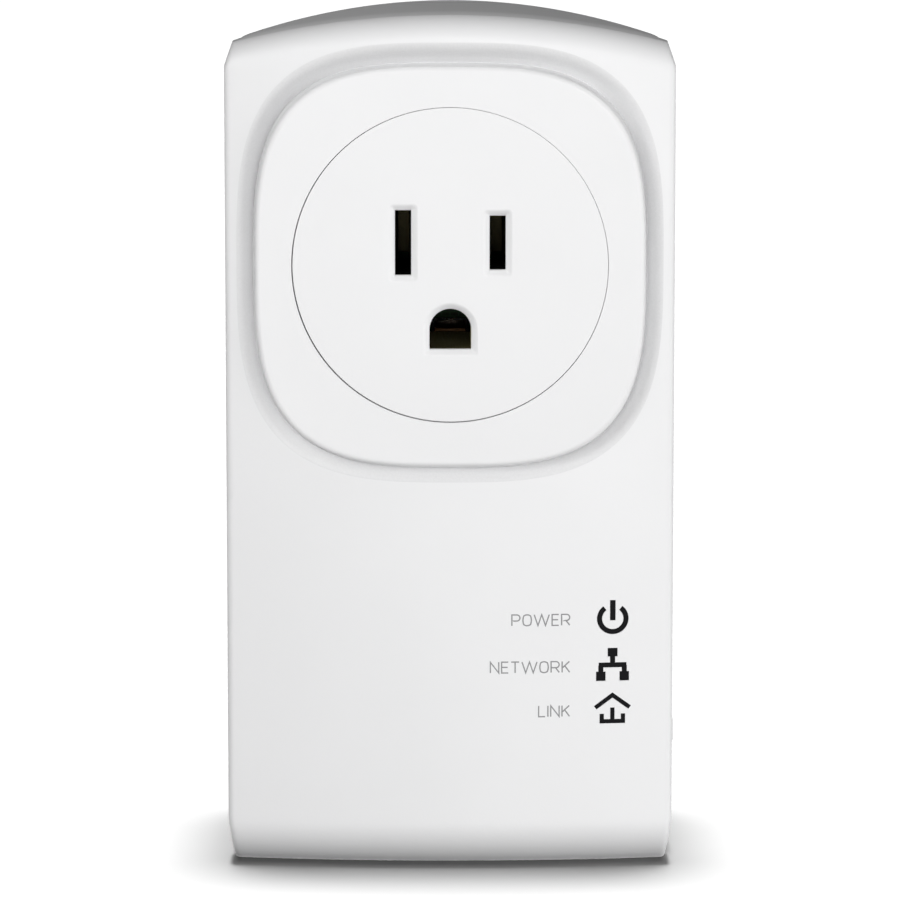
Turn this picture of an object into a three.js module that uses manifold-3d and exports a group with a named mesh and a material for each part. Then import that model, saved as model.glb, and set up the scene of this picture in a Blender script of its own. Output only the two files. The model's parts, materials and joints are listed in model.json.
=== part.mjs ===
// Powerline network adapter with a pass-through mains outlet, built as the separate pieces that it
// comes apart into. Millimetres, +Z up. The adapter stands on its base, its front faces -Y, and the
// plug blades stick out behind towards +Y. The origin is at the bottom centre of the whole object.
import * as THREE from 'three';
import { mergeVertices } from 'three/addons/utils/BufferGeometryUtils.js';
import Module from 'manifold-3d';

const wasm = await Module();
wasm.setup();
const { Manifold, Mesh: SolidMesh } = wasm;

// ---------- driving dimensions ----------
const bodyWidth = 60.6;
const bodyHeight = 116.2;
const bodyDepth = 40;
const partingDepth = 9; // from the front plane back to where the two shells meet
const seam = 0.15; // gap at a joint line between two pieces
const wall = 2; // shell wall thickness

// NEMA 5-15 plug and outlet
const bladePitch = 12.7;
const groundDrop = 11.9; // ground pin below the line through the two blades
const bladeLineZ = 85.95;
const bladeWidth = 6.35;
const bladeThickness = 1.5;
const bladeReach = 17.5;
const groundPinRadius = 2.4;
const groundPinReach = 21.4;

// front face
const crown = 0.0027; // the face falls back by crown * x * x
const topArch = 0.00445; // the front shell's top edge drops by topArch * x * x
const rearArch = 0.0059; // and the rear shell's by rearArch * x * x
const sideFillet = 0.8;
// The rolled edges are parts of ellipses: height is how far the roll reaches in from the edge.
const topRoll = { height: 3.5, upAxis: 3.6, backAxis: 5 };
const bottomRoll = { height: 6.3, upAxis: 6.7, backAxis: 7.4 };
const topRise = 0.27; // how much the top climbs from its rolled edge back to the parting plane
const bottomTaper = { height: 6.4, inset: 0.85 };
const topTaper = { height: 3, inset: 1 };
const plateau = { halfX: 26.24, halfZ: 26.85, exponent: 3.2, centreZ: 82.7 };
const moat = { halfX: 28.75, halfZ: 29.6, exponent: 3.2, centreZ: 83.15, fall: 2.1 };
const disc = { radius: 21.2, centreZ: 82.8, thickness: 2.6 };

// icons above the light guides, top to bottom
const iconX = 22.1;
const iconZ = [34.6, 28.1, 22];

// boards and moving parts
const logicBoard = { front: 10, back: 11.2 };
const powerBoard = { front: 26.5, back: 28.1 };
const onPower = powerBoard.front - seam; // the plane that the parts on the power board stand on
const screwPosts = [[-23, 9], [23, 9], [-23, 105.5], [23, 105.5]];
const jack = { x: -8, z0: 0.3, z1: 21.6, front: 11.4, back: 24.7, width: 16 };
const syncButton = { depth: 14.5, z: 17, length: 8, height: 3.6, proud: 0.75 };
const resetButton = { x: 13, depth: 14.5 };
const vents = { rows: 12, lowest: 41, pitch: 4.8, height: 1.7, front: 15, back: 33 };

const halfWidth = bodyWidth / 2;
const frontY = -(bodyDepth + groundPinReach) / 2;
const groundZ = bladeLineZ - groundDrop;
const bladeX = bladePitch / 2;
const rearHalfWidth = halfWidth - 0.2; // the rear shell sits a little inside the front one
const rearTop = bodyHeight - 0.3;
const past = 1; // how far a cutting tool runs past the surface it cuts

// ---------- solids from three.js geometry ----------
function toSolid(geometry) {
  const bare = geometry.clone();
  bare.deleteAttribute('normal');
  bare.deleteAttribute('uv');
  const merged = mergeVertices(bare, 1e-4);
  return new Manifold(new SolidMesh({
    numProp: 3,
    vertProperties: new Float32Array(merged.attributes.position.array),
    triVerts: new Uint32Array(merged.index.array),
  }));
}

function toGeometry(solid) {
  const mesh = solid.getMesh();
  const geometry = new THREE.BufferGeometry();
  geometry.setAttribute('position', new THREE.BufferAttribute(new Float32Array(mesh.vertProperties), 3));
  geometry.setIndex(new THREE.BufferAttribute(new Uint32Array(mesh.triVerts), 1));
  geometry.computeVertexNormals();
  return geometry;
}

function join(first, ...others) {
  return others.reduce((whole, piece) => whole.add(piece), first);
}

function cut(whole, ...tools) {
  return tools.reduce((left, tool) => left.subtract(tool), whole);
}

// Depths run backwards from the front plane, so depth 0 is the most forward line of the body.
function block(x0, x1, depth0, depth1, z0, z1) {
  const box = new THREE.BoxGeometry(x1 - x0, depth1 - depth0, z1 - z0);
  return toSolid(box.translate((x0 + x1) / 2, frontY + (depth0 + depth1) / 2, (z0 + z1) / 2));
}

function rodAlongDepth(x, z, radius, depth0, depth1, sides = 24) {
  const rod = new THREE.CylinderGeometry(radius, radius, depth1 - depth0, sides);
  return toSolid(rod.translate(x, frontY + (depth0 + depth1) / 2, z));
}

function rodAlongZ(x, depth, radius, z0, z1, sides = 24) {
  const rod = new THREE.CylinderGeometry(radius, radius, z1 - z0, sides).rotateX(Math.PI / 2);
  return toSolid(rod.translate(x, frontY + depth, (z0 + z1) / 2));
}

function rodAlongX(depth, z, radius, x0, x1, sides = 24) {
  const rod = new THREE.CylinderGeometry(radius, radius, x1 - x0, sides).rotateZ(Math.PI / 2);
  return toSolid(rod.translate((x0 + x1) / 2, frontY + depth, z));
}

// An outline drawn in X and Z, carried backwards from depth0 to depth1.
function slab(outline, depth0, depth1, curveSegments = 8) {
  const settings = { depth: depth1 - depth0, bevelEnabled: false, curveSegments };
  const geometry = new THREE.ExtrudeGeometry(outline, settings);
  return toSolid(geometry.rotateX(Math.PI / 2).translate(0, frontY + depth1, 0));
}

// An outline drawn in X and Y (Y as depth), carried up from z0 to z1.
function column(outline, z0, z1, curveSegments = 8) {
  const settings = { depth: z1 - z0, bevelEnabled: false, curveSegments };
  const geometry = new THREE.ExtrudeGeometry(outline, settings);
  return toSolid(geometry.translate(0, frontY, z0));
}

// An outline drawn in depth and Z, carried along X from x0 to x1.
function beam(outline, x0, x1, curveSegments = 8) {
  const settings = { depth: x1 - x0, bevelEnabled: false, curveSegments };
  const geometry = new THREE.ExtrudeGeometry(outline, settings);
  const turn = new THREE.Matrix4().makeBasis(
    new THREE.Vector3(0, 1, 0), new THREE.Vector3(0, 0, 1), new THREE.Vector3(1, 0, 0));
  return toSolid(geometry.applyMatrix4(turn).translate(x0, frontY, 0));
}

function polygon(points) {
  return new THREE.Shape(points.map(([x, y]) => new THREE.Vector2(x, y)));
}

function rectangle(x0, x1, y0, y1, radius = 0) {
  if (!radius) return polygon([[x0, y0], [x1, y0], [x1, y1], [x0, y1]]);
  const shape = new THREE.Shape();
  const quarter = Math.PI / 2;
  shape.absarc(x1 - radius, y0 + radius, radius, -quarter, 0);
  shape.absarc(x1 - radius, y1 - radius, radius, 0, quarter);
  shape.absarc(x0 + radius, y1 - radius, radius, quarter, 2 * quarter);
  shape.absarc(x0 + radius, y0 + radius, radius, 2 * quarter, 3 * quarter);
  return shape;
}

// ---------- the body's outer form ----------
function superellipse({ halfX, halfZ, exponent, centreZ }, angle, inset = 0) {
  const power = 2 / exponent;
  const cosine = Math.cos(angle);
  const sine = Math.sin(angle);
  return [
    (halfX - inset) * Math.sign(cosine) * Math.abs(cosine) ** power,
    centreZ + (halfZ - inset) * Math.sign(sine) * Math.abs(sine) ** power,
  ];
}

const squircleSteps = 64;
function squircle(form, inset) {
  const angles = Array.from({ length: squircleSteps }, (_, i) => 2 * Math.PI * (i + 0.5) / squircleSteps);
  return polygon(angles.map((angle) => superellipse(form, angle, inset)));
}

// How far a rolled edge has fallen back, at a distance in from that edge.
function rollDepth(distance, { height, upAxis, backAxis }) {
  const into = Math.max(0, height - distance);
  return backAxis * (1 - Math.sqrt(1 - (into / upAxis) ** 2));
}

function halfWidthAt(z) {
  const cornerTop = bodyHeight - topArch * (halfWidth - topTaper.inset) ** 2;
  const low = Math.max(0, 1 - z / bottomTaper.height);
  const high = Math.max(0, 1 - (cornerTop - z) / topTaper.height);
  return halfWidth - bottomTaper.inset * low - topTaper.inset * high;
}

function faceDepth(x, z) {
  const topEdge = bodyHeight - topArch * x * x;
  return crown * x * x + rollDepth(topEdge - z, topRoll) + rollDepth(z, bottomRoll);
}

// The front shell's outer body: a grid over the crowned and rolled face, a flat back at the
// parting plane and straight walls between the two.
function frontBody() {
  const across = [0, 0.2, 0.4, 0.6, 0.8, 1];
  const columns = [...across.slice(1).reverse().map((u) => -u), ...across];
  const up = [0, 0.12, 0.3, 0.55, 0.8, 1].map((v) => v * bottomRoll.height);
  const middle = [30, 60, 85, 102];
  const down = [1, 0.75, 0.5, 0.3, 0.12, 0].map((v) => bodyHeight - v * topRoll.height);
  const rows = [...up, ...middle, ...down];
  const followArch = 4; // rows turn from straight at the base to arched at the top
  const drop = (x, row) => topArch * x * x * (row / bodyHeight) ** followArch;
  const place = (u, row) => {
    const cornerZ = row - drop(halfWidth, row);
    const half = halfWidthAt(cornerZ);
    const inner = half - sideFillet;
    const x = Math.abs(u) === 1 ? u * half : u / 0.8 * inner;
    const extra = Math.abs(u) === 1 ? sideFillet : 0;
    const z = row - drop(x, row);
    return [x, frontY + faceDepth(x, z) + extra, z];
  };
  const count = columns.length;
  const front = rows.flatMap((row) => columns.map((u) => place(u, row)));
  const topRow = (rows.length - 1) * count;
  const back = front.map(([x, , z], i) => [x, frontY + partingDepth, i < topRow ? z : z + topRise]);
  const index = [];
  const quad = (a, b, c, d) => index.push(a, b, c, a, c, d);
  for (let j = 0; j < rows.length - 1; j += 1) {
    for (let i = 0; i < count - 1; i += 1) {
      const a = j * count + i;
      quad(a, a + 1, a + count + 1, a + count);
      const b = a + front.length;
      quad(b, b + count, b + count + 1, b + 1);
    }
  }
  const loop = [];
  for (let i = 0; i < count - 1; i += 1) loop.push(i);
  for (let j = 0; j < rows.length - 1; j += 1) loop.push(j * count + count - 1);
  for (let i = count - 1; i > 0; i -= 1) loop.push((rows.length - 1) * count + i);
  for (let j = rows.length - 1; j > 0; j -= 1) loop.push(j * count);
  loop.forEach((a, i) => {
    const b = loop[(i + 1) % loop.length];
    quad(b, a, a + front.length, b + front.length);
  });
  const geometry = new THREE.BufferGeometry();
  geometry.setAttribute('position', new THREE.Float32BufferAttribute([...front, ...back].flat(), 3));
  geometry.setIndex(index);
  return toSolid(geometry);
}

// The tool that cuts the groove around the outlet plateau: its floor slopes inwards from the face.
function moatTool() {
  const position = [];
  for (let i = 0; i < squircleSteps; i += 1) {
    const angle = 2 * Math.PI * (i + 0.5) / squircleSteps;
    const [ox, oz] = superellipse(moat, angle);
    const [ix, iz] = superellipse(plateau, angle);
    position.push([ox, frontY - past, oz], [ox, frontY + crown * ox * ox, oz]);
    position.push([ix, frontY + crown * ix * ix + moat.fall, iz], [ix, frontY - past, iz]);
  }
  const index = [];
  for (let i = 0; i < squircleSteps; i += 1) {
    const here = 4 * i;
    const next = 4 * ((i + 1) % squircleSteps);
    for (let k = 0; k < 4; k += 1) {
      const side = (k + 1) % 4;
      index.push(here + k, here + side, next + side, here + k, next + side, next + k);
    }
  }
  const geometry = new THREE.BufferGeometry();
  geometry.setAttribute('position', new THREE.Float32BufferAttribute(position.flat(), 3));
  geometry.setIndex(index);
  return toSolid(geometry);
}

// The rear shell's outer form, or with an inset its hollow: the meeting of a front outline with an
// arched top, a side outline with a drafted top, and a plan outline with round rear corners.
function rearForm(inset, depth0) {
  const half = rearHalfWidth - inset;
  const top = rearTop - inset;
  const topDraft = 0.05;
  const sideDraft = 0.5;
  const rear = bodyDepth - inset;
  const archPoint = (u) => [u * half, top - rearArch * (u * half) ** 2];
  const arch = [1, 0.75, 0.5, 0.25, 0, -0.25, -0.5, -0.75, -1].map(archPoint);
  const chamfer = bottomTaper.inset;
  const outline = polygon([
    [-half + chamfer, inset], [half - chamfer, inset], [half, bottomTaper.height],
    ...arch, [-half, bottomTaper.height]]);
  const rearRadius = 3 - inset / 2;
  const profile = new THREE.Shape();
  profile.moveTo(depth0, inset);
  profile.lineTo(rear - rearRadius, inset);
  profile.absarc(rear - rearRadius, inset + rearRadius, rearRadius, -Math.PI / 2, 0);
  profile.absarc(rear - rearRadius, top - topDraft - rearRadius, rearRadius, 0, Math.PI / 2);
  profile.lineTo(depth0, top);
  const cornerRadius = 5 - inset / 2;
  const plan = new THREE.Shape();
  plan.moveTo(-half, depth0);
  plan.lineTo(half, depth0);
  plan.absarc(half - sideDraft - cornerRadius, rear - cornerRadius, cornerRadius, 0, Math.PI / 2);
  plan.absarc(-half + sideDraft + cornerRadius, rear - cornerRadius, cornerRadius, Math.PI / 2, Math.PI);
  const roundSteps = 4;
  return slab(outline, depth0, rear)
    .intersect(beam(profile, -halfWidth, halfWidth, roundSteps))
    .intersect(column(plan, 0, bodyHeight, roundSteps));
}

// ---------- icons ----------
function bar(x0, z0, x1, z1, width) {
  const along = new THREE.Vector2(x1 - x0, z1 - z0).normalize();
  const [ax, az] = [-along.y * width / 2, along.x * width / 2];
  return polygon([[x0 - ax, z0 - az], [x1 - ax, z1 - az], [x1 + ax, z1 + az], [x0 + ax, z0 + az]]);
}

function arcBand(x, z, radius, width, from, to) {
  const shape = new THREE.Shape();
  shape.absarc(x, z, radius + width / 2, from, to, false);
  shape.absarc(x, z, radius - width / 2, to, from, true);
  return shape;
}

// Each icon is a list of strokes; grow widens every stroke, for the opening around the light guide.
function powerIcon(x, z, grow) {
  const open = THREE.MathUtils.degToRad(128);
  const close = THREE.MathUtils.degToRad(412);
  return [
    bar(x, z - 0.35 - grow, x, z + 2.35 + grow, 0.66 + 2 * grow),
    arcBand(x, z - 0.15, 1.8, 0.62 + 2 * grow, open, close),
  ];
}

function networkIcon(x, z, grow) {
  const box = (bx, bz, w, h) => rectangle(
    bx - w / 2 - grow, bx + w / 2 + grow, bz - h / 2 - grow, bz + h / 2 + grow);
  return [
    box(x, z + 1.7, 1.25, 1.1),
    box(x, z + 0.7, 0.6, 1.4),
    box(x, z - 0.05, 3.7, 0.6),
    box(x - 1.6, z - 0.75, 0.6, 1.2),
    box(x + 1.6, z - 0.75, 0.6, 1.2),
    box(x - 1.6, z - 1.6, 1.2, 1.2),
    box(x + 1.6, z - 1.6, 1.2, 1.2),
  ];
}

function homeIcon(x, z, grow) {
  const stroke = 0.5 + 2 * grow;
  return [
    bar(x + 0.18, z + 2.0, x - 2.35, z + 0.15, stroke),
    bar(x - 0.18, z + 2.0, x + 2.35, z + 0.15, stroke),
    bar(x - 1.7 - grow, z - 1.75, x + 1.7 + grow, z - 1.75, stroke),
    bar(x - 1.45, z - 1.75, x - 1.45, z - 0.75 + grow, stroke),
    bar(x + 1.45, z - 1.75, x + 1.45, z - 0.75 + grow, stroke),
    bar(x, z - 1.75, x, z + 0.1 + grow, stroke),
  ];
}

const icons = [powerIcon, networkIcon, homeIcon];
const guideFlangeDepth = 4.75;

function iconSolid(number, grow, depth0, depth1) {
  const strokes = icons[number](iconX, iconZ[number], grow);
  return join(...strokes.map((stroke) => slab(stroke, depth0, depth1, 10)));
}

// ---------- shells ----------
function frontShell() {
  const lip = 0.05; // keeps the plateau's blank wider than the groove's inner wall
  const body = frontBody().add(slab(squircle(plateau, -lip), 0, 6));
  const inside = halfWidth - wall;
  const cavityTop = (u) => [u * inside, bodyHeight - wall - topArch * (u * inside) ** 2 - 0.4];
  const cavity = polygon([[-inside, wall], [inside, wall], ...[1, 0.5, 0, -0.5, -1].map(cavityTop)]);
  const upperFloor = 7;
  const lowerFloor = guideFlangeDepth - seam;
  const shell = cut(
    body,
    moatTool(),
    slab(cavity, upperFloor, partingDepth + past),
    block(-inside + 0.5, inside - 0.5, lowerFloor, partingDepth + past, 5, 51),
    slab(squircle(plateau, 2.2), disc.thickness - 2 * seam, upperFloor + past),
    rodAlongDepth(0, disc.centreZ, disc.radius + seam, -past, disc.thickness, 64),
    ...iconZ.map((_, i) => iconSolid(i, 0.08, -past, guideFlangeDepth)),
  );
  const posts = screwPosts.map(([x, z]) => rodAlongDepth(x, z, 3, lowerFloor - 0.5, 23.7, 20));
  const pilots = screwPosts.map(([x, z]) => rodAlongDepth(x, z, 1.4, 11, 24, 12));
  return cut(join(shell, ...posts), ...pilots);
}

function rearShell() {
  const shell = rearForm(0, partingDepth + seam).subtract(rearForm(wall, partingDepth - past));
  const bosses = screwPosts.map(([x, z]) => rodAlongDepth(x, z, 3.6, 24, bodyDepth - wall / 2, 20));
  const throughHoles = screwPosts.map(([x, z]) => rodAlongDepth(x, z, 1.6, 23, bodyDepth + past, 12));
  const headRecesses = screwPosts.map(([x, z]) => rodAlongDepth(x, z, 2.8, 37, bodyDepth + past, 20));
  const openings = Array.from({ length: vents.rows }, (_, row) => {
    const z = vents.lowest + row * vents.pitch;
    return block(-halfWidth - past, halfWidth + past, vents.front, vents.back, z, z + vents.height);
  });
  const { depth, z, length, height } = syncButton;
  const buttonWindow = block(
    rearHalfWidth - 4, halfWidth + past,
    depth - length / 2 - 2 * seam, depth + length / 2 + 2 * seam,
    z - height / 2 - 2 * seam, z + height / 2 + 2 * seam);
  const jackWindow = block(
    jack.x - jack.width / 2 - seam, jack.x + jack.width / 2 + seam,
    jack.front - seam, jack.back + seam, -past, wall + past);
  return cut(
    join(shell, ...bosses),
    ...throughHoles, ...headRecesses, ...openings, buttonWindow, jackWindow,
    rodAlongZ(resetButton.x, resetButton.depth, 1.1, -past, wall + past, 20),
    slab(rectangle(-plugBase.half, plugBase.half, plugBase.z0, plugBase.z1, 3), 36, bodyDepth + past, 4),
    slab(labelOutline(labelMargin), bodyDepth - labelRecess, bodyDepth + past, 3),
  );
}

// ---------- the outlet ----------
const neutralSlot = [2.06, 8.6];
const lineSlot = [2.0, 7.1];
const groundHoleRadius = 2.75;
const groundFloor = groundZ - 2.5; // the flat side of the ground hole

function slotTool(x, [width, height], depth0, depth1) {
  return block(
    x - width / 2, x + width / 2, depth0, depth1, bladeLineZ - height / 2, bladeLineZ + height / 2);
}

function groundHoleTool(depth0, depth1) {
  const outline = new THREE.Shape();
  outline.absarc(0, groundZ, groundHoleRadius, 0, Math.PI);
  outline.lineTo(-groundHoleRadius, groundFloor);
  outline.lineTo(groundHoleRadius, groundFloor);
  return slab(outline, depth0, depth1, 12);
}

function outletFace() {
  const face = rodAlongDepth(0, disc.centreZ, disc.radius, 0, disc.thickness, 64);
  const flange = rodAlongDepth(0, disc.centreZ, disc.radius + 2.2, disc.thickness - seam, 4.2, 48);
  return cut(
    join(face, flange),
    slotTool(-bladeX, neutralSlot, -past, 5),
    slotTool(bladeX, lineSlot, -past, 5),
    groundHoleTool(-past, 5));
}

// The block behind the face: a guide wall with slots of its own, and behind it a pocket for each contact.
function outletBody() {
  const [front, guide, rear] = [4.4, 8, 22.4];
  const body = slab(rectangle(-15, 15, 67, 95.5, 3), front, rear, 4);
  const pocketHalf = { x: 2.6, z: 4.8 };
  const pocket = (x) => block(
    x - pocketHalf.x, x + pocketHalf.x, guide, rear + past,
    bladeLineZ - pocketHalf.z, bladeLineZ + pocketHalf.z);
  const ease = 0.15; // how much wider each guide slot is than the face's
  const guideSlot = (x, [width, height]) => slotTool(
    x, [width + 2 * ease, height + 2 * ease], front - past, guide + past);
  const channel = block(-3.4, 3.4, front - past, rear + past, groundFloor - 0.9, groundZ + 4.2);
  return cut(
    body, pocket(-bladeX), pocket(bladeX),
    guideSlot(-bladeX, neutralSlot), guideSlot(bladeX, lineSlot), channel);
}

const leaf = 0.5; // thickness of the brass strip that the contacts are folded from

// A folded brass clip: its two leaves narrow from the mouth to the pinch that grips a blade.
function bladeContact(x) {
  const mouth = { half: 1.6, depth: 8.5 };
  const pinch = { half: bladeThickness / 2, depth: 14.5 };
  const root = { half: 1.2, depth: 17, end: 20 };
  const outline = polygon([
    [x - mouth.half - leaf, mouth.depth], [x - mouth.half, mouth.depth],
    [x - pinch.half, pinch.depth], [x - root.half, root.depth],
    [x - root.half, root.end], [x + root.half, root.end],
    [x + root.half, root.depth], [x + pinch.half, pinch.depth],
    [x + mouth.half, mouth.depth], [x + mouth.half + leaf, mouth.depth],
    [x + pinch.half + leaf, pinch.depth], [x + root.half + leaf, root.depth],
    [x + root.half + leaf, root.end + leaf], [x - root.half - leaf, root.end + leaf],
    [x - root.half - leaf, root.depth], [x - pinch.half - leaf, pinch.depth]]);
  const halfHeight = 3.6;
  return column(outline, bladeLineZ - halfHeight, bladeLineZ + halfHeight);
}

// A brass channel under the ground hole, open at the top and at both ends.
function groundContact() {
  const inner = 2.5;
  const top = groundZ + 2;
  const channel = polygon([
    [-inner - leaf, groundFloor - leaf], [inner + leaf, groundFloor - leaf], [inner + leaf, top],
    [inner, top], [inner, groundFloor], [-inner, groundFloor], [-inner, top], [-inner - leaf, top]]);
  return slab(channel, 4.5, 20.5);
}

// Flat bars that carry the current from the outlet's contacts, through the power board, to the plug.
const bar0 = 20.7;
const bar1 = 29.3;
const barHalf = 0.4;

function busbar(x) {
  const halfHeight = 3;
  return block(x - barHalf, x + barHalf, bar0, bar1, bladeLineZ - halfHeight, bladeLineZ + halfHeight);
}

function earthStrap() {
  const halfLength = 2.2;
  const z = groundFloor - leaf / 2;
  return block(-halfLength, halfLength, bar0, bar1, z - barHalf, z + barHalf);
}

// ---------- the plug ----------
const plugBase = { half: 16.8, z0: 63.6, z1: 95.6 };

function plugBaseBody() {
  const { half, z0, z1 } = plugBase;
  const body = slab(rectangle(-half + seam, half - seam, z0 + seam, z1 - seam, 3), 31, bodyDepth, 4);
  const flange = slab(rectangle(-half - 2, half + 2, z0 - 2, z1 + 2, 3), 35.8, bodyDepth - wall - seam, 4);
  const slot = (x) => block(
    x - bladeThickness / 2 - seam, x + bladeThickness / 2 + seam, 30, bodyDepth + past,
    bladeLineZ - bladeWidth / 2 - seam, bladeLineZ + bladeWidth / 2 + seam);
  const pinHole = rodAlongDepth(0, groundZ, groundPinRadius + seam, 30, bodyDepth + past);
  return cut(join(body, flange), slot(-bladeX), slot(bladeX), pinHole);
}

const rootDepth = 29.5; // where blades and pin start inside the body

// A flat blade with chamfered tip and the usual locking hole near its end.
function blade(x) {
  const tip = bodyDepth + bladeReach;
  const [low, high] = [bladeLineZ - bladeWidth / 2, bladeLineZ + bladeWidth / 2];
  const chamfer = 1.2;
  const outline = polygon([
    [rootDepth, low], [tip - chamfer, low], [tip, low + chamfer],
    [tip, high - chamfer], [tip - chamfer, high], [rootDepth, high]]);
  const half = bladeThickness / 2;
  const hole = rodAlongX(tip - 5.6, bladeLineZ, 1.6, x - half - past, x + half + past, 20);
  return beam(outline, x - half, x + half).subtract(hole);
}

function groundPin() {
  const length = bodyDepth + groundPinReach - rootDepth;
  const nose = new THREE.Path();
  nose.moveTo(0, 0);
  nose.lineTo(groundPinRadius, 0);
  nose.absarc(0, length - groundPinRadius, groundPinRadius, 0, Math.PI / 2);
  const points = nose.getPoints(6).map((p) => new THREE.Vector2(Math.max(0, p.x), p.y));
  points[points.length - 1].x = 0;
  return toSolid(new THREE.LatheGeometry(points, 28).translate(0, frontY + rootDepth, groundZ));
}

// ---------- boards and what they carry ----------
function logicBoardBody() {
  const half = 25.7; // stays clear of the pairing button's flange when it is pressed
  const neck = 18;
  const [low, shoulder, high] = [3, 14, 50.5];
  const outline = polygon([
    [-neck, low], [neck, low], [neck, shoulder], [half, shoulder],
    [half, high], [-half, high], [-half, shoulder], [-neck, shoulder]]);
  return slab(outline, logicBoard.front, logicBoard.back);
}

function powerBoardBody() {
  const outline = rectangle(-26, 26, 14, 100.5, 1);
  const window = (x, z, halfX, halfZ) => block(
    x - halfX, x + halfX, powerBoard.front - past, powerBoard.back + past, z - halfZ, z + halfZ);
  return cut(
    slab(outline, powerBoard.front, powerBoard.back, 3),
    window(-bladeX, bladeLineZ, 1.2, 3.4), window(bladeX, bladeLineZ, 1.2, 3.4),
    window(0, groundFloor - leaf / 2, 2.6, 1));
}

function boardHeader() {
  const pitch = 2.54;
  const count = 8;
  const z = 48.3;
  const pinHalf = 0.32;
  const housingBack = 20;
  const housing = block(-10, 10, logicBoard.back + seam, housingBack, z - 1.3, z + 1.3);
  const pins = Array.from({ length: count }, (_, i) => {
    const x = (i - (count - 1) / 2) * pitch;
    return block(x - pinHalf, x + pinHalf, housingBack - 0.5, onPower, z - pinHalf, z + pinHalf);
  });
  return join(housing, ...pins);
}

// A form turned about an axis along the depth, from a profile of [radius, distance behind depth0].
function turned(profile, x, z, depth0, sides) {
  const points = profile.map(([radius, along]) => new THREE.Vector2(radius, along));
  return toSolid(new THREE.LatheGeometry(points, sides).translate(x, frontY + depth0, z));
}

// The ferrite frame of the mains transformer: a window each side of its middle leg.
const transformer = { x: 15, half: 9, front: 15, back: 25, z0: 28, z1: 45, yoke: 3, legHalf: 2.5 };

function transformerCore() {
  const { x, half, front, back, z0, z1, yoke, legHalf } = transformer;
  const window = (x0, x1) => block(x0, x1, front - past, back + past, z0 + yoke, z1 - yoke);
  return cut(
    block(x - half, x + half, front, back, z0, z1),
    window(x - half + yoke, x - legHalf), window(x + legHalf, x + half - yoke));
}

function transformerWinding() {
  const { x, half, front, back, z0, z1, yoke, legHalf } = transformer;
  const gap = 0.2;
  const bulge = 1.2; // how far the turns stand out in front of the core
  const reach = half - yoke - gap;
  const [low, high] = [z0 + yoke, z1 - yoke];
  const outline = rectangle(x - reach, x + reach, low + gap, high - gap, 1);
  const coil = slab(outline, front - bulge, onPower, 3);
  const hole = block(
    x - legHalf - gap, x + legHalf + gap, front - seam, back + seam, low - past, high + past);
  return coil.subtract(hole);
}

// A radial capacitor standing on the power board, with the pressed groove near its leads.
function capacitor(x, z, radius, front) {
  const length = onPower - front;
  const groove = { depth: 0.4, start: 3, middle: 2.4, end: 1.8 };
  const edge = 0.5;
  return turned([
    [0, 0], [radius, 0], [radius, length - groove.start], [radius - groove.depth, length - groove.middle],
    [radius, length - groove.end], [radius, length - edge], [radius - edge, length], [0, length],
  ], x, z, front, 20);
}

function choke() {
  const core = { x0: -9, x1: 7, z0: 54, z1: 65.4, front: 13, back: 24 };
  const leg = { x: 4.5, z: 3 };
  const lip = 0.4; // how far the carrier reaches past the core
  const ring = cut(
    slab(rectangle(core.x0, core.x1, core.z0, core.z1, 1), core.front, core.back, 3),
    block(core.x0 + leg.x, core.x1 - leg.x, core.front - past, core.back + past,
      core.z0 + leg.z, core.z1 - leg.z));
  const carrier = block(core.x0 - lip, core.x1 + lip, core.back, onPower, core.z0 - lip, core.z1 + 0.2);
  return join(ring, carrier);
}

// A round disc on edge, with the strip of lead and coating that stands it on the board.
function varistor() {
  const disk = { x0: -22.5, x1: -19, depth: 15, z: 76, radius: 4.5 };
  const foot = { x0: -21.4, x1: -20.1, half: 2.4 };
  return join(
    rodAlongX(disk.depth, disk.z, disk.radius, disk.x0, disk.x1, 20),
    block(foot.x0, foot.x1, disk.depth, onPower, disk.z - foot.half, disk.z + foot.half));
}

function fuse() {
  const [depth, z] = [23.6, 25];
  const [left, right] = [-22, -3];
  const capLength = 4.5;
  const tube = rodAlongX(depth, z, 2.2, left + past, right - past, 16);
  const cap = (x0) => rodAlongX(depth, z, 2.6, x0, x0 + capLength, 16);
  return join(tube, cap(left), cap(right - capLength));
}

function drumInductor() {
  const front = 17;
  const length = onPower - front;
  const flange = { radius: 4, thickness: 1.2 };
  const coil = { radius: 3, start: 1.6, end: 7.4 };
  return turned([
    [0, 0], [flange.radius, 0], [flange.radius, flange.thickness], [coil.radius, coil.start],
    [coil.radius, coil.end], [flange.radius, coil.end + 0.4], [flange.radius, length], [0, length],
  ], -20.5, 96.5, front, 20);
}

// A moulded chip with a row of gull-wing legs down each side, standing on the logic board's back.
function chip(x, z, width, height, thickness, legs) {
  const base = logicBoard.back + seam;
  const body = block(
    x - width / 2, x + width / 2, base + 0.1, base + thickness, z - height / 2, z + height / 2);
  const pitch = height / legs;
  const rows = Array.from({ length: legs }, (_, i) => {
    const legZ = z - height / 2 + (i + 0.5) * pitch;
    return block(x - width / 2 - 0.9, x + width / 2 + 0.9, base, base + 0.4, legZ - 0.2, legZ + 0.2);
  });
  return join(body, ...rows);
}

const mainChip = { x: -12, z: 37, size: 13, thickness: 1.3, legs: 10 };

function mainChipBody() {
  const { x, z, size, thickness, legs } = mainChip;
  return chip(x, z, size, size, thickness, legs);
}

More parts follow.
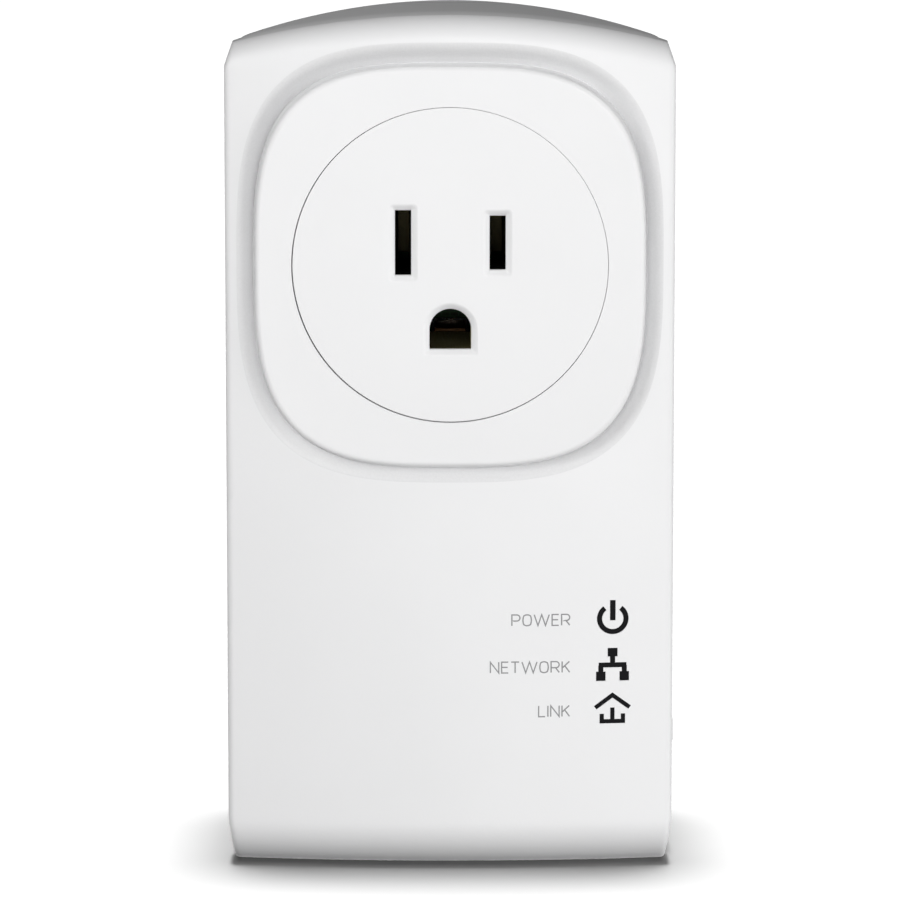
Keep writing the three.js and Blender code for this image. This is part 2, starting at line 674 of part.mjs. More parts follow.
function heatSink() {
  const depth0 = logicBoard.back + mainChip.thickness + 2 * seam;
  const half = 8.5;
  const [bottom, top] = [mainChip.z - half, mainChip.z + half];
  const base = block(mainChip.x - half, mainChip.x + half, depth0, depth0 + 1.5, bottom, top);
  const fins = Array.from({ length: 6 }, (_, i) => {
    const x = mainChip.x - half + i * (2 * half - 1) / 5;
    return block(x, x + 1, depth0 + 1.2, depth0 + 6.3, bottom, top);
  });
  return join(base, ...fins);
}

function indicatorLed(z) {
  const half = { x: 1, z: 0.65 };
  const front = 9.3;
  const lens = { radius: 0.55, proud: 0.25 };
  return join(
    block(iconX - half.x, iconX + half.x, front, logicBoard.front - seam, z - half.z, z + half.z),
    rodAlongDepth(iconX, z, lens.radius, front - lens.proud, front + 0.1, 12));
}

// A smoked guide: the icon stands flush in the shell's face, with a flange and a light pipe behind.
function lightGuide(number, body) {
  const z = iconZ[number];
  const emboss = iconSolid(number, 0, -past, guideFlangeDepth + 0.2).intersect(body);
  const plate = { x: 2.9, z: 2.85, thickness: 1 };
  const flangeBack = guideFlangeDepth + plate.thickness;
  const outline = rectangle(iconX - plate.x, iconX + plate.x, z - plate.z, z + plate.z, 0.5);
  const flange = slab(outline, guideFlangeDepth, flangeBack, 3);
  const pipeBack = 8.7;
  return join(emboss, flange, rodAlongDepth(iconX, z, 1.5, flangeBack - 0.25, pipeBack, 16));
}

// ---------- network jack ----------
const jackMouth = { halfX: 5.9, depth0: 13.2, depth1: 20.4, reach: 14 };

// The socket's mouth opens downwards, with two steps behind for the plug's latch.
function networkJack() {
  const { x, z0, z1, front, back, width } = jack;
  const body = block(x - width / 2, x + width / 2, front, back, z0, z1);
  const { halfX, depth0, depth1, reach } = jackMouth;
  const latchReach = reach - 3;
  const latchStep = (half, depth) => block(
    x - half, x + half, depth1 - past, depth, z0 - past, latchReach);
  const carrierHalf = 5.4;
  return cut(
    body,
    block(x - halfX, x + halfX, depth0, depth1, z0 - past, reach),
    latchStep(3, depth1 + 1.5),
    latchStep(1.7, depth1 + 2.9),
    block(x - carrierHalf, x + carrierHalf, depth0 - 0.9, depth0 + past, reach - past, 18));
}

// Eight sprung contacts on the carrier that holds them in the jack.
function jackContacts() {
  const { depth0, reach } = jackMouth;
  const carrier = block(jack.x - 5, jack.x + 5, depth0 - 0.6, depth0 + 0.6, reach + seam, 17.7);
  const pitch = 1.02;
  const wireHalf = 0.22;
  const tip = 3.4;
  const wires = Array.from({ length: 8 }, (_, i) => {
    const x = jack.x + (i - 3.5) * pitch;
    return block(x - wireHalf, x + wireHalf, depth0 + 0.15, depth0 + 0.55, tip, reach + 0.6);
  });
  return join(carrier, ...wires);
}

// ---------- buttons and their switches ----------
const plungerHalf = 1.2;

// The pad that shows in the side of the case, and the wider flange that keeps it in.
function syncButtonCap() {
  const { depth, z, length, height, proud } = syncButton;
  const flangeX0 = rearHalfWidth - 3.3;
  const flangeX1 = rearHalfWidth - wall - 2 * seam;
  const lip = 1.2;
  const pad = slab(
    rectangle(flangeX0 + 0.7, halfWidth + proud, z - height / 2, z + height / 2, 0.35),
    depth - length / 2, depth + length / 2, 3);
  const flange = block(
    flangeX0, flangeX1, depth - length / 2 - lip, depth + length / 2 + lip,
    z - height / 2 - lip, z + height / 2 + lip);
  return join(pad, flange);
}

function syncPlunger() {
  const { depth, z } = syncButton;
  const [tip, root] = [24.2, 26.6];
  return block(tip, root, depth - plungerHalf, depth + plungerHalf, z - plungerHalf, z + plungerHalf);
}

function syncSwitch() {
  const { depth, z } = syncButton;
  const front = logicBoard.back + seam;
  const body = block(19.5, 25.4, front, depth + 3, z - 2.8, z + 2.8);
  const guide = plungerHalf + seam;
  return body.subtract(block(23.4, 26, depth - guide, depth + guide, z - guide, z + guide));
}

function resetPlunger() {
  return rodAlongZ(resetButton.x, resetButton.depth, 1.2, 4.4, 7.6, 16);
}

function resetSwitch() {
  const { x, depth } = resetButton;
  const body = block(x - 3, x + 3, logicBoard.back + seam, depth + 3, 6.6, 10);
  return body.subtract(rodAlongZ(x, depth, 1.2 + seam, 6, 8.3, 16));
}

// ---------- fasteners, label and sheet ----------
function caseScrew(x, z) {
  const head = { front: 37.3, back: 39, radius: 2.5 };
  const shank = { radius: 1.2, tip: 13 };
  const cross = { long: 1.6, half: 0.225, floor: 38.1 };
  const crossBar = (halfX, halfZ) => block(
    x - halfX, x + halfX, cross.floor, head.back + past, z - halfZ, z + halfZ);
  return cut(
    join(
      rodAlongDepth(x, z, head.radius, head.front, head.back, 20),
      rodAlongDepth(x, z, shank.radius, shank.tip, head.front + 0.2, 12)),
    crossBar(cross.long, cross.half), crossBar(cross.half, cross.long));
}

const label = { half: 20.5, z0: 13.5, z1: 52.5 };
const labelMargin = 0.5; // how much wider the recess is, on each side
const labelRecess = 0.5;

function labelOutline(grow) {
  return rectangle(-label.half - grow, label.half + grow, label.z0 - grow, label.z1 + grow, 0.8);
}

function ratingLabel() {
  return slab(labelOutline(0), bodyDepth - labelRecess + 0.1, bodyDepth - seam, 3);
}

function insulatingSheet() {
  const depth = 30;
  const thickness = 0.4;
  return slab(rectangle(-25, 25, 15, 59, 2), depth, depth + thickness, 3);
}

// ---------- assembly ----------
const white = 0xf1f1f2;
const group = new THREE.Group();

function add(name, solid, color, roughness, metalness = 0) {
  const material = new THREE.MeshStandardMaterial({ color, roughness, metalness });
  const mesh = new THREE.Mesh(toGeometry(solid), material);
  mesh.name = name;
  group.add(mesh);
}

add('front_shell', frontShell(), white, 0.4);
add('rear_shell', rearShell(), white, 0.5);

add('outlet_face', outletFace(), white, 0.42);
add('outlet_body', outletBody(), 0x2a2a2c, 0.6);
add('neutral_contact', bladeContact(-bladeX), 0xb08d4a, 0.35, 1);
add('line_contact', bladeContact(bladeX), 0xb08d4a, 0.35, 1);
add('ground_contact', groundContact(), 0xb08d4a, 0.35, 1);
add('neutral_busbar', busbar(-bladeX), 0xb87548, 0.35, 1);
add('line_busbar', busbar(bladeX), 0xb87548, 0.35, 1);
add('earth_strap', earthStrap(), 0xb87548, 0.35, 1);

add('plug_base', plugBaseBody(), 0xe6e6e6, 0.5);
add('neutral_blade', blade(-bladeX), 0xc9c6bd, 0.25, 1);
add('line_blade', blade(bladeX), 0xc9c6bd, 0.25, 1);
add('ground_pin', groundPin(), 0xc9c6bd, 0.25, 1);

add('logic_board', logicBoardBody(), 0x1f6b3a, 0.45);
add('power_board', powerBoardBody(), 0x1f6b3a, 0.45);
add('board_header', boardHeader(), 0x1b1b1c, 0.5);
add('transformer_core', transformerCore(), 0x2f2f31, 0.7);
add('transformer_winding', transformerWinding(), 0xd9b13a, 0.5);
add('bulk_capacitor_1', capacitor(20.8, 60, 5, 8.2), 0x23262b, 0.35);
add('bulk_capacitor_2', capacitor(20.8, 72, 5, 8.2), 0x23262b, 0.35);
add('x_capacitor', block(-25.5, -12.5, 14, onPower, 54, 65), 0xd8b52e, 0.45);
add('common_mode_choke', choke(), 0x3a3a3d, 0.7);
add('filter_inductor', drumInductor(), 0x2f2f31, 0.7);
add('varistor', varistor(), 0x2d5fa8, 0.5);
add('fuse', fuse(), 0xcfd3d2, 0.3);
add('bridge_rectifier', block(17, 25, 22.5, onPower, 82, 90), 0x1b1b1c, 0.6);
add('coupling_transformer', block(-25, -16.5, 18, onPower, 83, 92), 0x26262a, 0.6);
add('main_chip', mainChipBody(), 0x161617, 0.6);
add('heat_sink', heatSink(), 0xa9abae, 0.4, 1);
add('memory_chip', chip(9, 39.5, 6, 8, 1, 6), 0x161617, 0.6);
add('network_magnetics', chip(9.5, 20.5, 8, 8.5, 3.8, 6), 0x161617, 0.6);

add('network_jack', networkJack(), 0x1e1e20, 0.5);
add('jack_contacts', jackContacts(), 0xd0a548, 0.3, 1);

const guideBlank = frontBody();
['power', 'network', 'link'].forEach((name, i) => {
  add(`${name}_led`, indicatorLed(iconZ[i]), 0xe9e4c8, 0.4);
  add(`${name}_light_guide`, lightGuide(i, guideBlank), 0x101011, 0.3);
});

add('sync_button', syncButtonCap(), 0xe4e4e5, 0.45);
add('sync_plunger', syncPlunger(), 0x8d8f92, 0.5);
add('sync_switch', syncSwitch(), 0x1b1b1c, 0.5);
add('reset_plunger', resetPlunger(), 0x8d8f92, 0.5);
add('reset_switch', resetSwitch(), 0x1b1b1c, 0.5);

screwPosts.forEach(([x, z], i) => add(`case_screw_${i + 1}`, caseScrew(x, z), 0x8b8c8e, 0.35, 1));
add('rating_label', ratingLabel(), 0xd7d8d9, 0.5);
add('insulating_sheet', insulatingSheet(), 0xe9dfb8, 0.5);

export default group;
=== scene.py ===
"""The looks of a powerline network adapter with a pass-through mains outlet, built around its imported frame.

Lengths are in millimetres, unless a name ends in _m or _M for metres. A depth runs backwards (+Y) from
the front plane of the body, and the adapter stands on z = 0 with its front towards -Y.
"""
import json
from contextlib import contextmanager
from math import atan2, cos, degrees, pi, radians, sin, sqrt

import bmesh
import bpy
from mathutils import Matrix, Vector


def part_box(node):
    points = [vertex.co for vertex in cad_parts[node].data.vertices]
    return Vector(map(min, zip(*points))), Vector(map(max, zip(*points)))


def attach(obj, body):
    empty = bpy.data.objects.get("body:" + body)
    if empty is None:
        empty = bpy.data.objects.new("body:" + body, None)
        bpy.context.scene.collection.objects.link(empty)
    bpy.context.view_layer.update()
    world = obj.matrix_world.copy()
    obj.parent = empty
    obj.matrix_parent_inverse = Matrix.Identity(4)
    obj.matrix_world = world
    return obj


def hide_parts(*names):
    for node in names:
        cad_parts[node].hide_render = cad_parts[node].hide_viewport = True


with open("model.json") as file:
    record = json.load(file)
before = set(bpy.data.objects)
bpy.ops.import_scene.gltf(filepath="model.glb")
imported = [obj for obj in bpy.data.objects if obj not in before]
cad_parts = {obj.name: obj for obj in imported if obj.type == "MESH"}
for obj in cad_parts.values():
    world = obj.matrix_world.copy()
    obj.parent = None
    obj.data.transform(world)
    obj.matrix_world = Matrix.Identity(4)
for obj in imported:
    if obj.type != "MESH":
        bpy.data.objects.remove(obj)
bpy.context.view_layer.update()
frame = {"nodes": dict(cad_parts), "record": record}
scene = bpy.context.scene
MM = 0.001


# ---------- what the frame gives ----------
def extent(node):
    """Lowest and highest corner of a CAD node, in millimetres."""
    low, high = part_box(node)
    return low / MM, high / MM


def middle(node):
    low, high = extent(node)
    return (low + high) / 2


SEAM = 0.15  # gap between pieces that meet
TOP_RISE = 0.27  # the cover's top climbs by this much from its rolled edge back to the parting plane
FRONT_Y = extent("front_shell")[0].y
HALF_WIDTH = extent("front_shell")[1].x
HEIGHT = extent("front_shell")[1].z - TOP_RISE
PARTING = extent("rear_shell")[0].y - FRONT_Y - SEAM
DEPTH = extent("rear_shell")[1].y - FRONT_Y
REAR_HALF_WIDTH = extent("rear_shell")[1].x
REAR_TOP = extent("rear_shell")[1].z
BLADE_X = middle("line_blade").x
BLADE_Z = middle("line_blade").z
GROUND_Z = middle("ground_pin").z
DISC_Z = middle("outlet_face").z
ICON_NODES = ("power_light_guide", "network_light_guide", "link_light_guide")
ICON_X = middle(ICON_NODES[0]).x
SLOT_OF = {row["node"]: row["material_slot"] for row in frame["record"]["subparts"]}

# ---------- the cover's form, as the frame has it ----------
CROWN = 0.0027  # the face falls back by CROWN * x * x
TOP_ARCH = 0.00445  # the cover's top edge drops by TOP_ARCH * x * x
REAR_ARCH = 0.0059
SIDE_ROUND = 0.8
TOP_ROLL = {"height": 3.35, "up": 3.6, "back": 5.0}  # part of an ellipse, with its half axes up and back
BOTTOM_ROLL = {"height": 6.3, "up": 6.7, "back": 7.4}
BOTTOM_TAPER = {"height": 6.4, "inset": 0.85}
TOP_TAPER = {"height": 3.0, "inset": 1.0}
TOP_HALF = HALF_WIDTH - TOP_TAPER["inset"]
CORNER_Z = HEIGHT - TOP_ARCH * TOP_HALF ** 2  # where the top edge meets the sides
PLATEAU = {"half_x": 26.24, "half_z": 27.05, "exponent": 3.2, "z": 82.5}
MOAT = {"half_x": 28.75, "half_z": 29.7, "exponent": 3.2, "z": 83.05}
MOAT_FALL = 2.1
MOAT_TILT = 0.4  # the groove is this much deeper along its top, and as much shallower along its foot
MOAT_SHOULDER = 0.4  # and it is deeper still in its upper corners
RIM_ROUND = 0.65  # rounding of the plateau's edge
FOOT_ROUND = 0.3  # rounding where the plateau's wall meets the groove's floor
FOOT_TURN = radians(42)  # the wall's foot turns by this much, into the slope of the floor
FOOT_GROW = 0.3  # the wall leans out by this much down to its foot
DISC_RADIUS = 21.2
SHARED_Z = 50.0  # the polar part of the cover's mesh stands on this line, the grid below it

# ---------- the rear case, the outlet, the icons and the button ----------
WALL = 2.0
SIDE_DRAFT = 0.5
TOP_DRAFT = 0.05
SIDE_CORNER = 5.0  # rounding of the case's rear edges, seen from above
TOP_CORNER = 3.0  # the same, seen from the side
SCREWS = [middle(f"case_screw_{number}") for number in range(1, 5)]
NEUTRAL_SLOT = {"width": 2.16, "height": 8.75}
LINE_SLOT = {"width": 2.14, "height": 7.3}
SLOT_Z = BLADE_Z - 0.16
GROUND_RADIUS = 2.8
GROUND_FLAT = 2.65  # the ground hole's flat side is this far below its centre
GUIDE_FLANGE = 4.75  # depth where the light guides' flanges start
LEGEND_RIGHT = ICON_X - 5.85
LEGEND_HEIGHT = 1.5  # between the middles of a letter's top and bottom strokes
LEGEND_STROKE = 0.17
PRESS_LENGTH = 8.0  # of the pairing button's cap
PRESS_HEIGHT = 3.6
POST_RADIUS = 3.0
POST_END = 23.7  # depth where the cover's posts end, just short of the case's own
FAR = 1.0  # how far a cutting tool runs past the surface it cuts


# ---------- meshes ----------
def at(x, depth, z):
    return (x, FRONT_Y + depth, z)


def add(name, data):
    made = bpy.data.objects.new(name, data)
    scene.collection.objects.link(made)
    return made


@contextmanager
def reshaping(mesh):
    """The mesh as a bmesh form, which is written back at the end."""
    form = bmesh.new()
    form.from_mesh(mesh)
    yield form
    form.to_mesh(mesh)
    form.free()


def mesh_object(name, points, faces):
    mesh = bpy.data.meshes.new(name)
    mesh.from_pydata([(x * MM, y * MM, z * MM) for x, y, z in points], [], faces)
    with reshaping(mesh) as form:
        bmesh.ops.recalc_face_normals(form, faces=form.faces)
    return add(name, mesh)


def bands(rings):
    """The faces between neighbouring rings of equally many points."""
    count = len(rings[0])
    faces = []
    for level in range(len(rings) - 1):
        for step in range(count):
            here = level * count + step
            after = level * count + (step + 1) % count
            faces.append((here, after, after + count, here + count))
    return faces


def loft(name, rings):
    """A closed skin through rings of equally many points, with a flat cap at each end."""
    count = len(rings[0])
    points = [point for ring in rings for point in ring]
    first_cap = tuple(range(count))[::-1]
    last_cap = tuple(range(len(points) - count, len(points)))
    return mesh_object(name, points, [first_cap, last_cap] + bands(rings))


def combine(target, tools, operation="DIFFERENCE"):
    """Cuts the tools from the target, joins them to it, or keeps what is common; the tools are used up."""
    for tool in tools:
        modifier = target.modifiers.new("combine", "BOOLEAN")
        modifier.operation = operation
        modifier.solver = "MANIFOLD"
        modifier.object = tool
        settled = bpy.context.evaluated_depsgraph_get()
        mesh = bpy.data.meshes.new_from_object(target.evaluated_get(settled))
        target.modifiers.clear()
        used = target.data
        target.data = mesh
        bpy.data.meshes.remove(used)
        bpy.data.objects.remove(tool)
    return target


def smooth(piece, crease=34):
    """Smooth shading, with a sharp edge wherever two faces meet at more than the crease, in degrees."""
    piece.data.polygons.foreach_set("use_smooth", [True] * len(piece.data.polygons))
    piece.data.set_sharp_from_angle(angle=radians(crease))
    return piece


def clean(piece):
    """Merges the specks and slivers that cutting leaves."""
    reach = 0.002
    with reshaping(piece.data) as form:
        bmesh.ops.remove_doubles(form, verts=form.verts, dist=reach * MM)
        bmesh.ops.dissolve_degenerate(form, edges=form.edges, dist=reach * MM)
    return piece


# ---------- outlines, as lists of (x, z) ----------
def arc(x, z, radius, first, last, steps):
    """Points along an arc, its angles in degrees anticlockwise from +X."""
    angles = [radians(first + (last - first) * step / steps) for step in range(steps + 1)]
    return [(x + radius * cos(angle), z + radius * sin(angle)) for angle in angles]


def quarter(steps, first=0):
    """Angles over a quarter turn, in radians."""
    return [pi / 2 * step / steps for step in range(first, steps + 1)]


def circle(x, z, radius, sides):
    return arc(x, z, radius, 0, 360 - 360 / sides, sides - 1)


def round_box(x0, x1, z0, z1, radius, steps=6):
    corners = ((x1, z0, -90), (x1, z1, 0), (x0, z1, 90), (x0, z0, 180))
    points = []
    for x, z, first in corners:
        inner_x = x - radius if x == x1 else x + radius
        inner_z = z - radius if z == z1 else z + radius
        points += arc(inner_x, inner_z, radius, first, first + 90, steps)
    return points


def prism(outline, depth0, depth1, name="tool"):
    return loft(name, [[at(x, depth, z) for x, z in outline] for depth in (depth0, depth1)])


def stack(outline_at, levels):
    """A loft along the depth: each level is a depth, and how far the outline has grown there."""
    return loft("tool", [[at(x, depth, z) for x, z in outline_at(grow)] for depth, grow in levels])


def rod(x, z, radius, depth0, depth1, sides=40):
    return prism(circle(x, z, radius, sides), depth0, depth1)


def turned(x, z, profile, sides=96, name="tool"):
    """A turned form about an axis along the depth: the profile lists (radius, depth)."""
    return loft(name, [
        [at(px, depth, pz) for px, pz in circle(x, z, radius, sides)] for radius, depth in profile])


def box_tool(x0, x1, depth0, depth1, z0, z1):
    return prism([(x0, z0), (x1, z0), (x1, z1), (x0, z1)], depth0, depth1)


# ---------- the cover ----------
def roll_depth(distance, roll):
    """How far a rolled edge has fallen back, at a distance in from that edge."""
    into = roll["height"] - min(max(distance, 0.0), roll["height"])
    return roll["back"] * (1 - sqrt(1 - (into / roll["up"]) ** 2))


def top_edge(x):
    return HEIGHT - TOP_ARCH * x * x


def half_width_at(z):
    low = max(0.0, 1 - z / BOTTOM_TAPER["height"])
    high = max(0.0, 1 - (CORNER_Z - z) / TOP_TAPER["height"])
    return HALF_WIDTH - BOTTOM_TAPER["inset"] * low - TOP_TAPER["inset"] * high


def side_depth(x, z):
    """The rounding along the cover's long edges."""
    inwards = min(SIDE_ROUND, half_width_at(z) - abs(x))
    return SIDE_ROUND - sqrt(max(0.0, SIDE_ROUND ** 2 - (SIDE_ROUND - max(0.0, inwards)) ** 2))


def face_depth(x, z):
    rolled = roll_depth(top_edge(x) - z, TOP_ROLL) + roll_depth(z, BOTTOM_ROLL)
    return CROWN * x * x + rolled + side_depth(x, z)


def squircle(form, dx, dz, grow=0.0):
    """Below 1 inside the form, and 1 on its outline; dx and dz are measured from its centre."""
    exponent = form["exponent"]
    return (abs(dx) / (form["half_x"] + grow)) ** exponent + (abs(dz) / (form["half_z"] + grow)) ** exponent


def on_squircle(form, direction, grow=0.0):
    """Where a ray from the form's centre meets its outline."""
    dx, dz = direction
    reach = squircle(form, dx, dz, grow) ** (-1 / form["exponent"])
    return (dx * reach, form["z"] + dz * reach)


def cover_columns():
    """Shares of the half width, close together over the rounding of each long edge."""
    rounding = [HALF_WIDTH - SIDE_ROUND * (1 - sin(turn)) for turn in quarter(6)]
    flat_steps = 42
    flat = HALF_WIDTH - SIDE_ROUND - 0.3
    across = [flat * (2 * step / flat_steps - 1) for step in range(flat_steps + 1)]
    return [x / HALF_WIDTH for x in [-x for x in reversed(rounding)] + across + rounding]


def cover_outline(columns):
    """The cover's outline above the shared line, anticlockwise from its lower left."""
    roll_start = CORNER_Z - 4
    side_steps = 34
    roll_steps = 14
    side = [SHARED_Z + (roll_start - SHARED_Z) * step / side_steps for step in range(1, side_steps + 1)]
    side += [roll_start + (CORNER_Z - roll_start) * step / roll_steps for step in range(1, roll_steps)]
    points = [(share * HALF_WIDTH, SHARED_Z) for share in columns]
    points += [(half_width_at(z), z) for z in side]
    points += [(share * TOP_HALF, top_edge(share * TOP_HALF)) for share in reversed(columns)]
    points += [(-half_width_at(z), z) for z in reversed(side)]
    return points


def moat_depth(x, z):
    """How deep the groove is at the plateau's foot."""
    up = (z - PLATEAU["z"]) / PLATEAU["half_z"]
    shoulder = max(0.0, up) * (x / PLATEAU["half_x"]) ** 2
    return MOAT_FALL + MOAT_TILT * up + MOAT_SHOULDER * shoulder


def moat_floor(share, depth):
    """The groove's fall at a share of the way out: an even slope that eases into the face."""
    ease = 0.55
    left = 1 - share
    fall = left - ease / 2 if left > ease else left * left / (2 * ease)
    return depth * fall / (1 - ease / 2)


def cover_rings(outline):
    """Rings of points from the plateau's middle out to the outline, all in the same directions."""
    directions = [(x, z - MOAT["z"]) for x, z in outline]
    rings = []

    def around(form, grow=0.0):
        return [on_squircle(form, direction, grow) for direction in directions]

    def ring(points_with_depth):
        rings.append([at(x, depth, z) for x, depth, z in points_with_depth])

    # the flat plateau and its rounded rim
    for radius in (DISC_RADIUS - 1.5, DISC_RADIUS + 0.5):
        reach = [radius / sqrt(dx * dx + dz * dz) for dx, dz in directions]
        ring([(dx * r, 0.0, DISC_Z + dz * r) for (dx, dz), r in zip(directions, reach)])
    for inset in (3.2, 1.6, RIM_ROUND + 0.15):
        ring([(x, 0.0, z) for x, z in around(PLATEAU, -inset)])
    rim_turn = radians(86)
    rim_steps = 7
    for step in range(rim_steps + 1):
        turn = rim_turn * step / rim_steps
        fall = RIM_ROUND * (1 - cos(turn))
        ring([(x, fall, z) for x, z in around(PLATEAU, -RIM_ROUND * (1 - sin(turn)))])
    # the plateau's wall and its rounded foot
    for share in (0.1, 0.5, 0.9):
        wall = []
        for x, z in around(PLATEAU, FOOT_GROW * share):
            foot = CROWN * x * x + moat_depth(x, z) - FOOT_ROUND * sin(FOOT_TURN)
            wall.append((x, RIM_ROUND + (foot - RIM_ROUND) * share, z))
        ring(wall)
    foot_steps = 3
    for step in range(foot_steps + 1):
        turn = FOOT_TURN * step / foot_steps
        rise = FOOT_ROUND * (sin(FOOT_TURN) - sin(turn))
        inner = around(PLATEAU, FOOT_GROW + FOOT_ROUND * (1 - cos(turn)))
        ring([(x, CROWN * x * x + moat_depth(x, z) - rise, z) for x, z in inner])
    # the groove's floor, at shares of the way out
    for share in (0.1, 0.2, 0.32, 0.44, 0.56, 0.66, 0.75, 0.83, 0.89, 0.94, 0.98, 1.0):
        floor = []
        for (x0, z0), (x1, z1) in zip(inner, around(MOAT)):
            x = x0 + (x1 - x0) * share
            z = z0 + (z1 - z0) * share
            floor.append((x, face_depth(x, z) + moat_floor(share, moat_depth(x0, z0)), z))
        ring(floor)
    # the face, at shares of the way that is left to the outline
    for left in (0.93, 0.85, 0.72, 0.6, 0.5, 0.41, 0.33, 0.25, 0.18, 0.12, 0.07, 0.035, 0.012, 0.0):
        face = []
        for (x0, z0), (x1, z1) in zip(around(MOAT), outline):
            x = x1 + (x0 - x1) * left
            z = z1 + (z0 - z1) * left
            face.append((x, face_depth(x, z), z))
        ring(face)
    return rings


def cover_blank(name="tool"):
    """The cover before anything is cut from it: a closed block with its back at the parting plane."""
    columns = cover_columns()
    outline = cover_outline(columns)
    rings = cover_rings(outline)
    points = [point for ring in rings for point in ring]
    faces = [tuple(range(len(outline)))] + bands(rings)
    rows = [SHARED_Z - 4.2 * step for step in range(10)]  # they lie closest over the rolled bottom edge
    rows += [10.2, 8.6, 7.5, 6.8] + [6.3 - 0.45 * step for step in range(13)] + [0.6, 0.35, 0.15, 0.05, 0.0]
    first = len(points)
    wide = len(columns)
    for z in rows:
        places = [share * half_width_at(z) for share in columns]
        points += [at(x, face_depth(x, z), z) for x in places]
    for row in range(len(rows) - 1):
        for column in range(wide - 1):
            here = first + row * wide + column
            faces.append((here, here + 1, here + wide + 1, here + wide))
    blank = mesh_object(name, points, faces)
    with reshaping(blank.data) as form:
        join_reach = 1e-4
        bmesh.ops.remove_doubles(form, verts=form.verts, dist=join_reach * MM)
        close_back(form)
    return blank


def close_back(form):
    """Takes the skin's open edge back to the parting plane and closes it there."""
    lip = 1.8  # the top's rise is over within this much behind the rolled edge
    corner_fade = 3.0  # and it fades out over this much at each corner
    close_to = 0.01
    parting_chamfer = 0.15
    shrink = 0.996
    levels = (  # depth (None for the end of the lip), scale of the outline, and rise of the top
        (None, 1.0, TOP_RISE),
        (PARTING - parting_chamfer, 1.0, 0.0),
        (PARTING, shrink, 0.0),
    )
    for depth, scale, rise in levels:
        edges = [edge for edge in form.edges if edge.is_boundary]
        grown = bmesh.ops.extrude_edge_only(form, edges=edges)["geom"]
        for vertex in (item for item in grown if isinstance(item, bmesh.types.BMVert)):
            x, z = vertex.co.x / MM, vertex.co.z / MM
            here = vertex.co.y / MM - FRONT_Y + lip if depth is None else depth
            if z > top_edge(x) - close_to:
                z += rise * min(1.0, (TOP_HALF - abs(x)) / corner_fade)
            vertex.co = Vector(at(x * scale, here, HEIGHT / 2 + (z - HEIGHT / 2) * scale)) * MM
    bmesh.ops.holes_fill(form, edges=[edge for edge in form.edges if edge.is_boundary], sides=0)
    bmesh.ops.recalc_face_normals(form, faces=form.faces)


# ---------- icons and legends, drawn as strokes ----------
def ribbon(points, width, depth0, depth1, closed=False):
    """A stroke of even width along (x, z) points, as a closed solid between two depths."""
    least_mitre = 0.35  # keeps sharp corners short
    count = len(points)
    rings = []
    for step, (x, z) in enumerate(points):
        before = points[step - 1] if step or closed else None
        after = points[(step + 1) % count] if step < count - 1 or closed else None
        ways = []
        if before:
            ways.append(Vector((x - before[0], z - before[1])).normalized())
        if after:
            ways.append(Vector((after[0] - x, after[1] - z)).normalized())
        along = sum(ways, Vector((0, 0))).normalized()
        mitre = width / 2 / max(least_mitre, along.dot(ways[0]))
        nx, nz = -along.y * mitre, along.x * mitre
        rings.append([at(x + nx, depth0, z + nz), at(x - nx, depth0, z - nz),
                      at(x - nx, depth1, z - nz), at(x + nx, depth1, z + nz)])
    if not closed:
        return loft("tool", rings)
    faces = []
    for step in range(count):
        for side in range(4):
            here = 4 * step
            there = 4 * ((step + 1) % count)
            turn = (side + 1) % 4
            faces.append((here + side, here + turn, there + turn, there + side))
    return mesh_object("tool", [point for ring in rings for point in ring], faces)


# An icon is a list of strokes, each as its points and its width; grow lengthens the free ends.
def power_icon(x, z, grow):
    return [
        ([(x, z - 0.35 - grow), (x, z + 2.35 + grow)], 0.66),
        (arc(x, z - 0.15, 1.8, 128 - 30 * grow, 412 + 30 * grow, 48), 0.62),
    ]


def network_icon(x, z, grow):
    def block(cx, cz, width, height):
        return ([(cx, cz - height / 2 - grow), (cx, cz + height / 2 + grow)], width)

    return [
        block(x, z + 1.7, 1.25, 1.1),
        block(x, z + 0.7, 0.6, 1.4),
        block(x, z - 0.05, 3.7, 0.6),
        block(x - 1.6, z - 0.75, 0.6, 1.2),
        block(x + 1.6, z - 0.75, 0.6, 1.2),
        block(x - 1.6, z - 1.6, 1.2, 1.2),
        block(x + 1.6, z - 1.6, 1.2, 1.2),
    ]


def home_icon(x, z, grow):
    stroke = 0.5
    eaves = z + 0.15
    wall_top = z - 0.75 + grow
    ground = z - 1.75
    return [
        ([(x - 2.35, eaves), (x, z + 1.87), (x + 2.35, eaves)], stroke),
        ([(x - 1.45, wall_top), (x - 1.45, ground), (x + 1.45, ground), (x + 1.45, wall_top)], stroke),
        ([(x, ground), (x, z + 0.1 + grow)], stroke),
    ]


def strokes_solid(strokes, grow, depth0, depth1):
    parts = [ribbon(points, width + 2 * grow, depth0, depth1) for points, width in strokes]
    return combine(parts[0], parts[1:], "UNION")


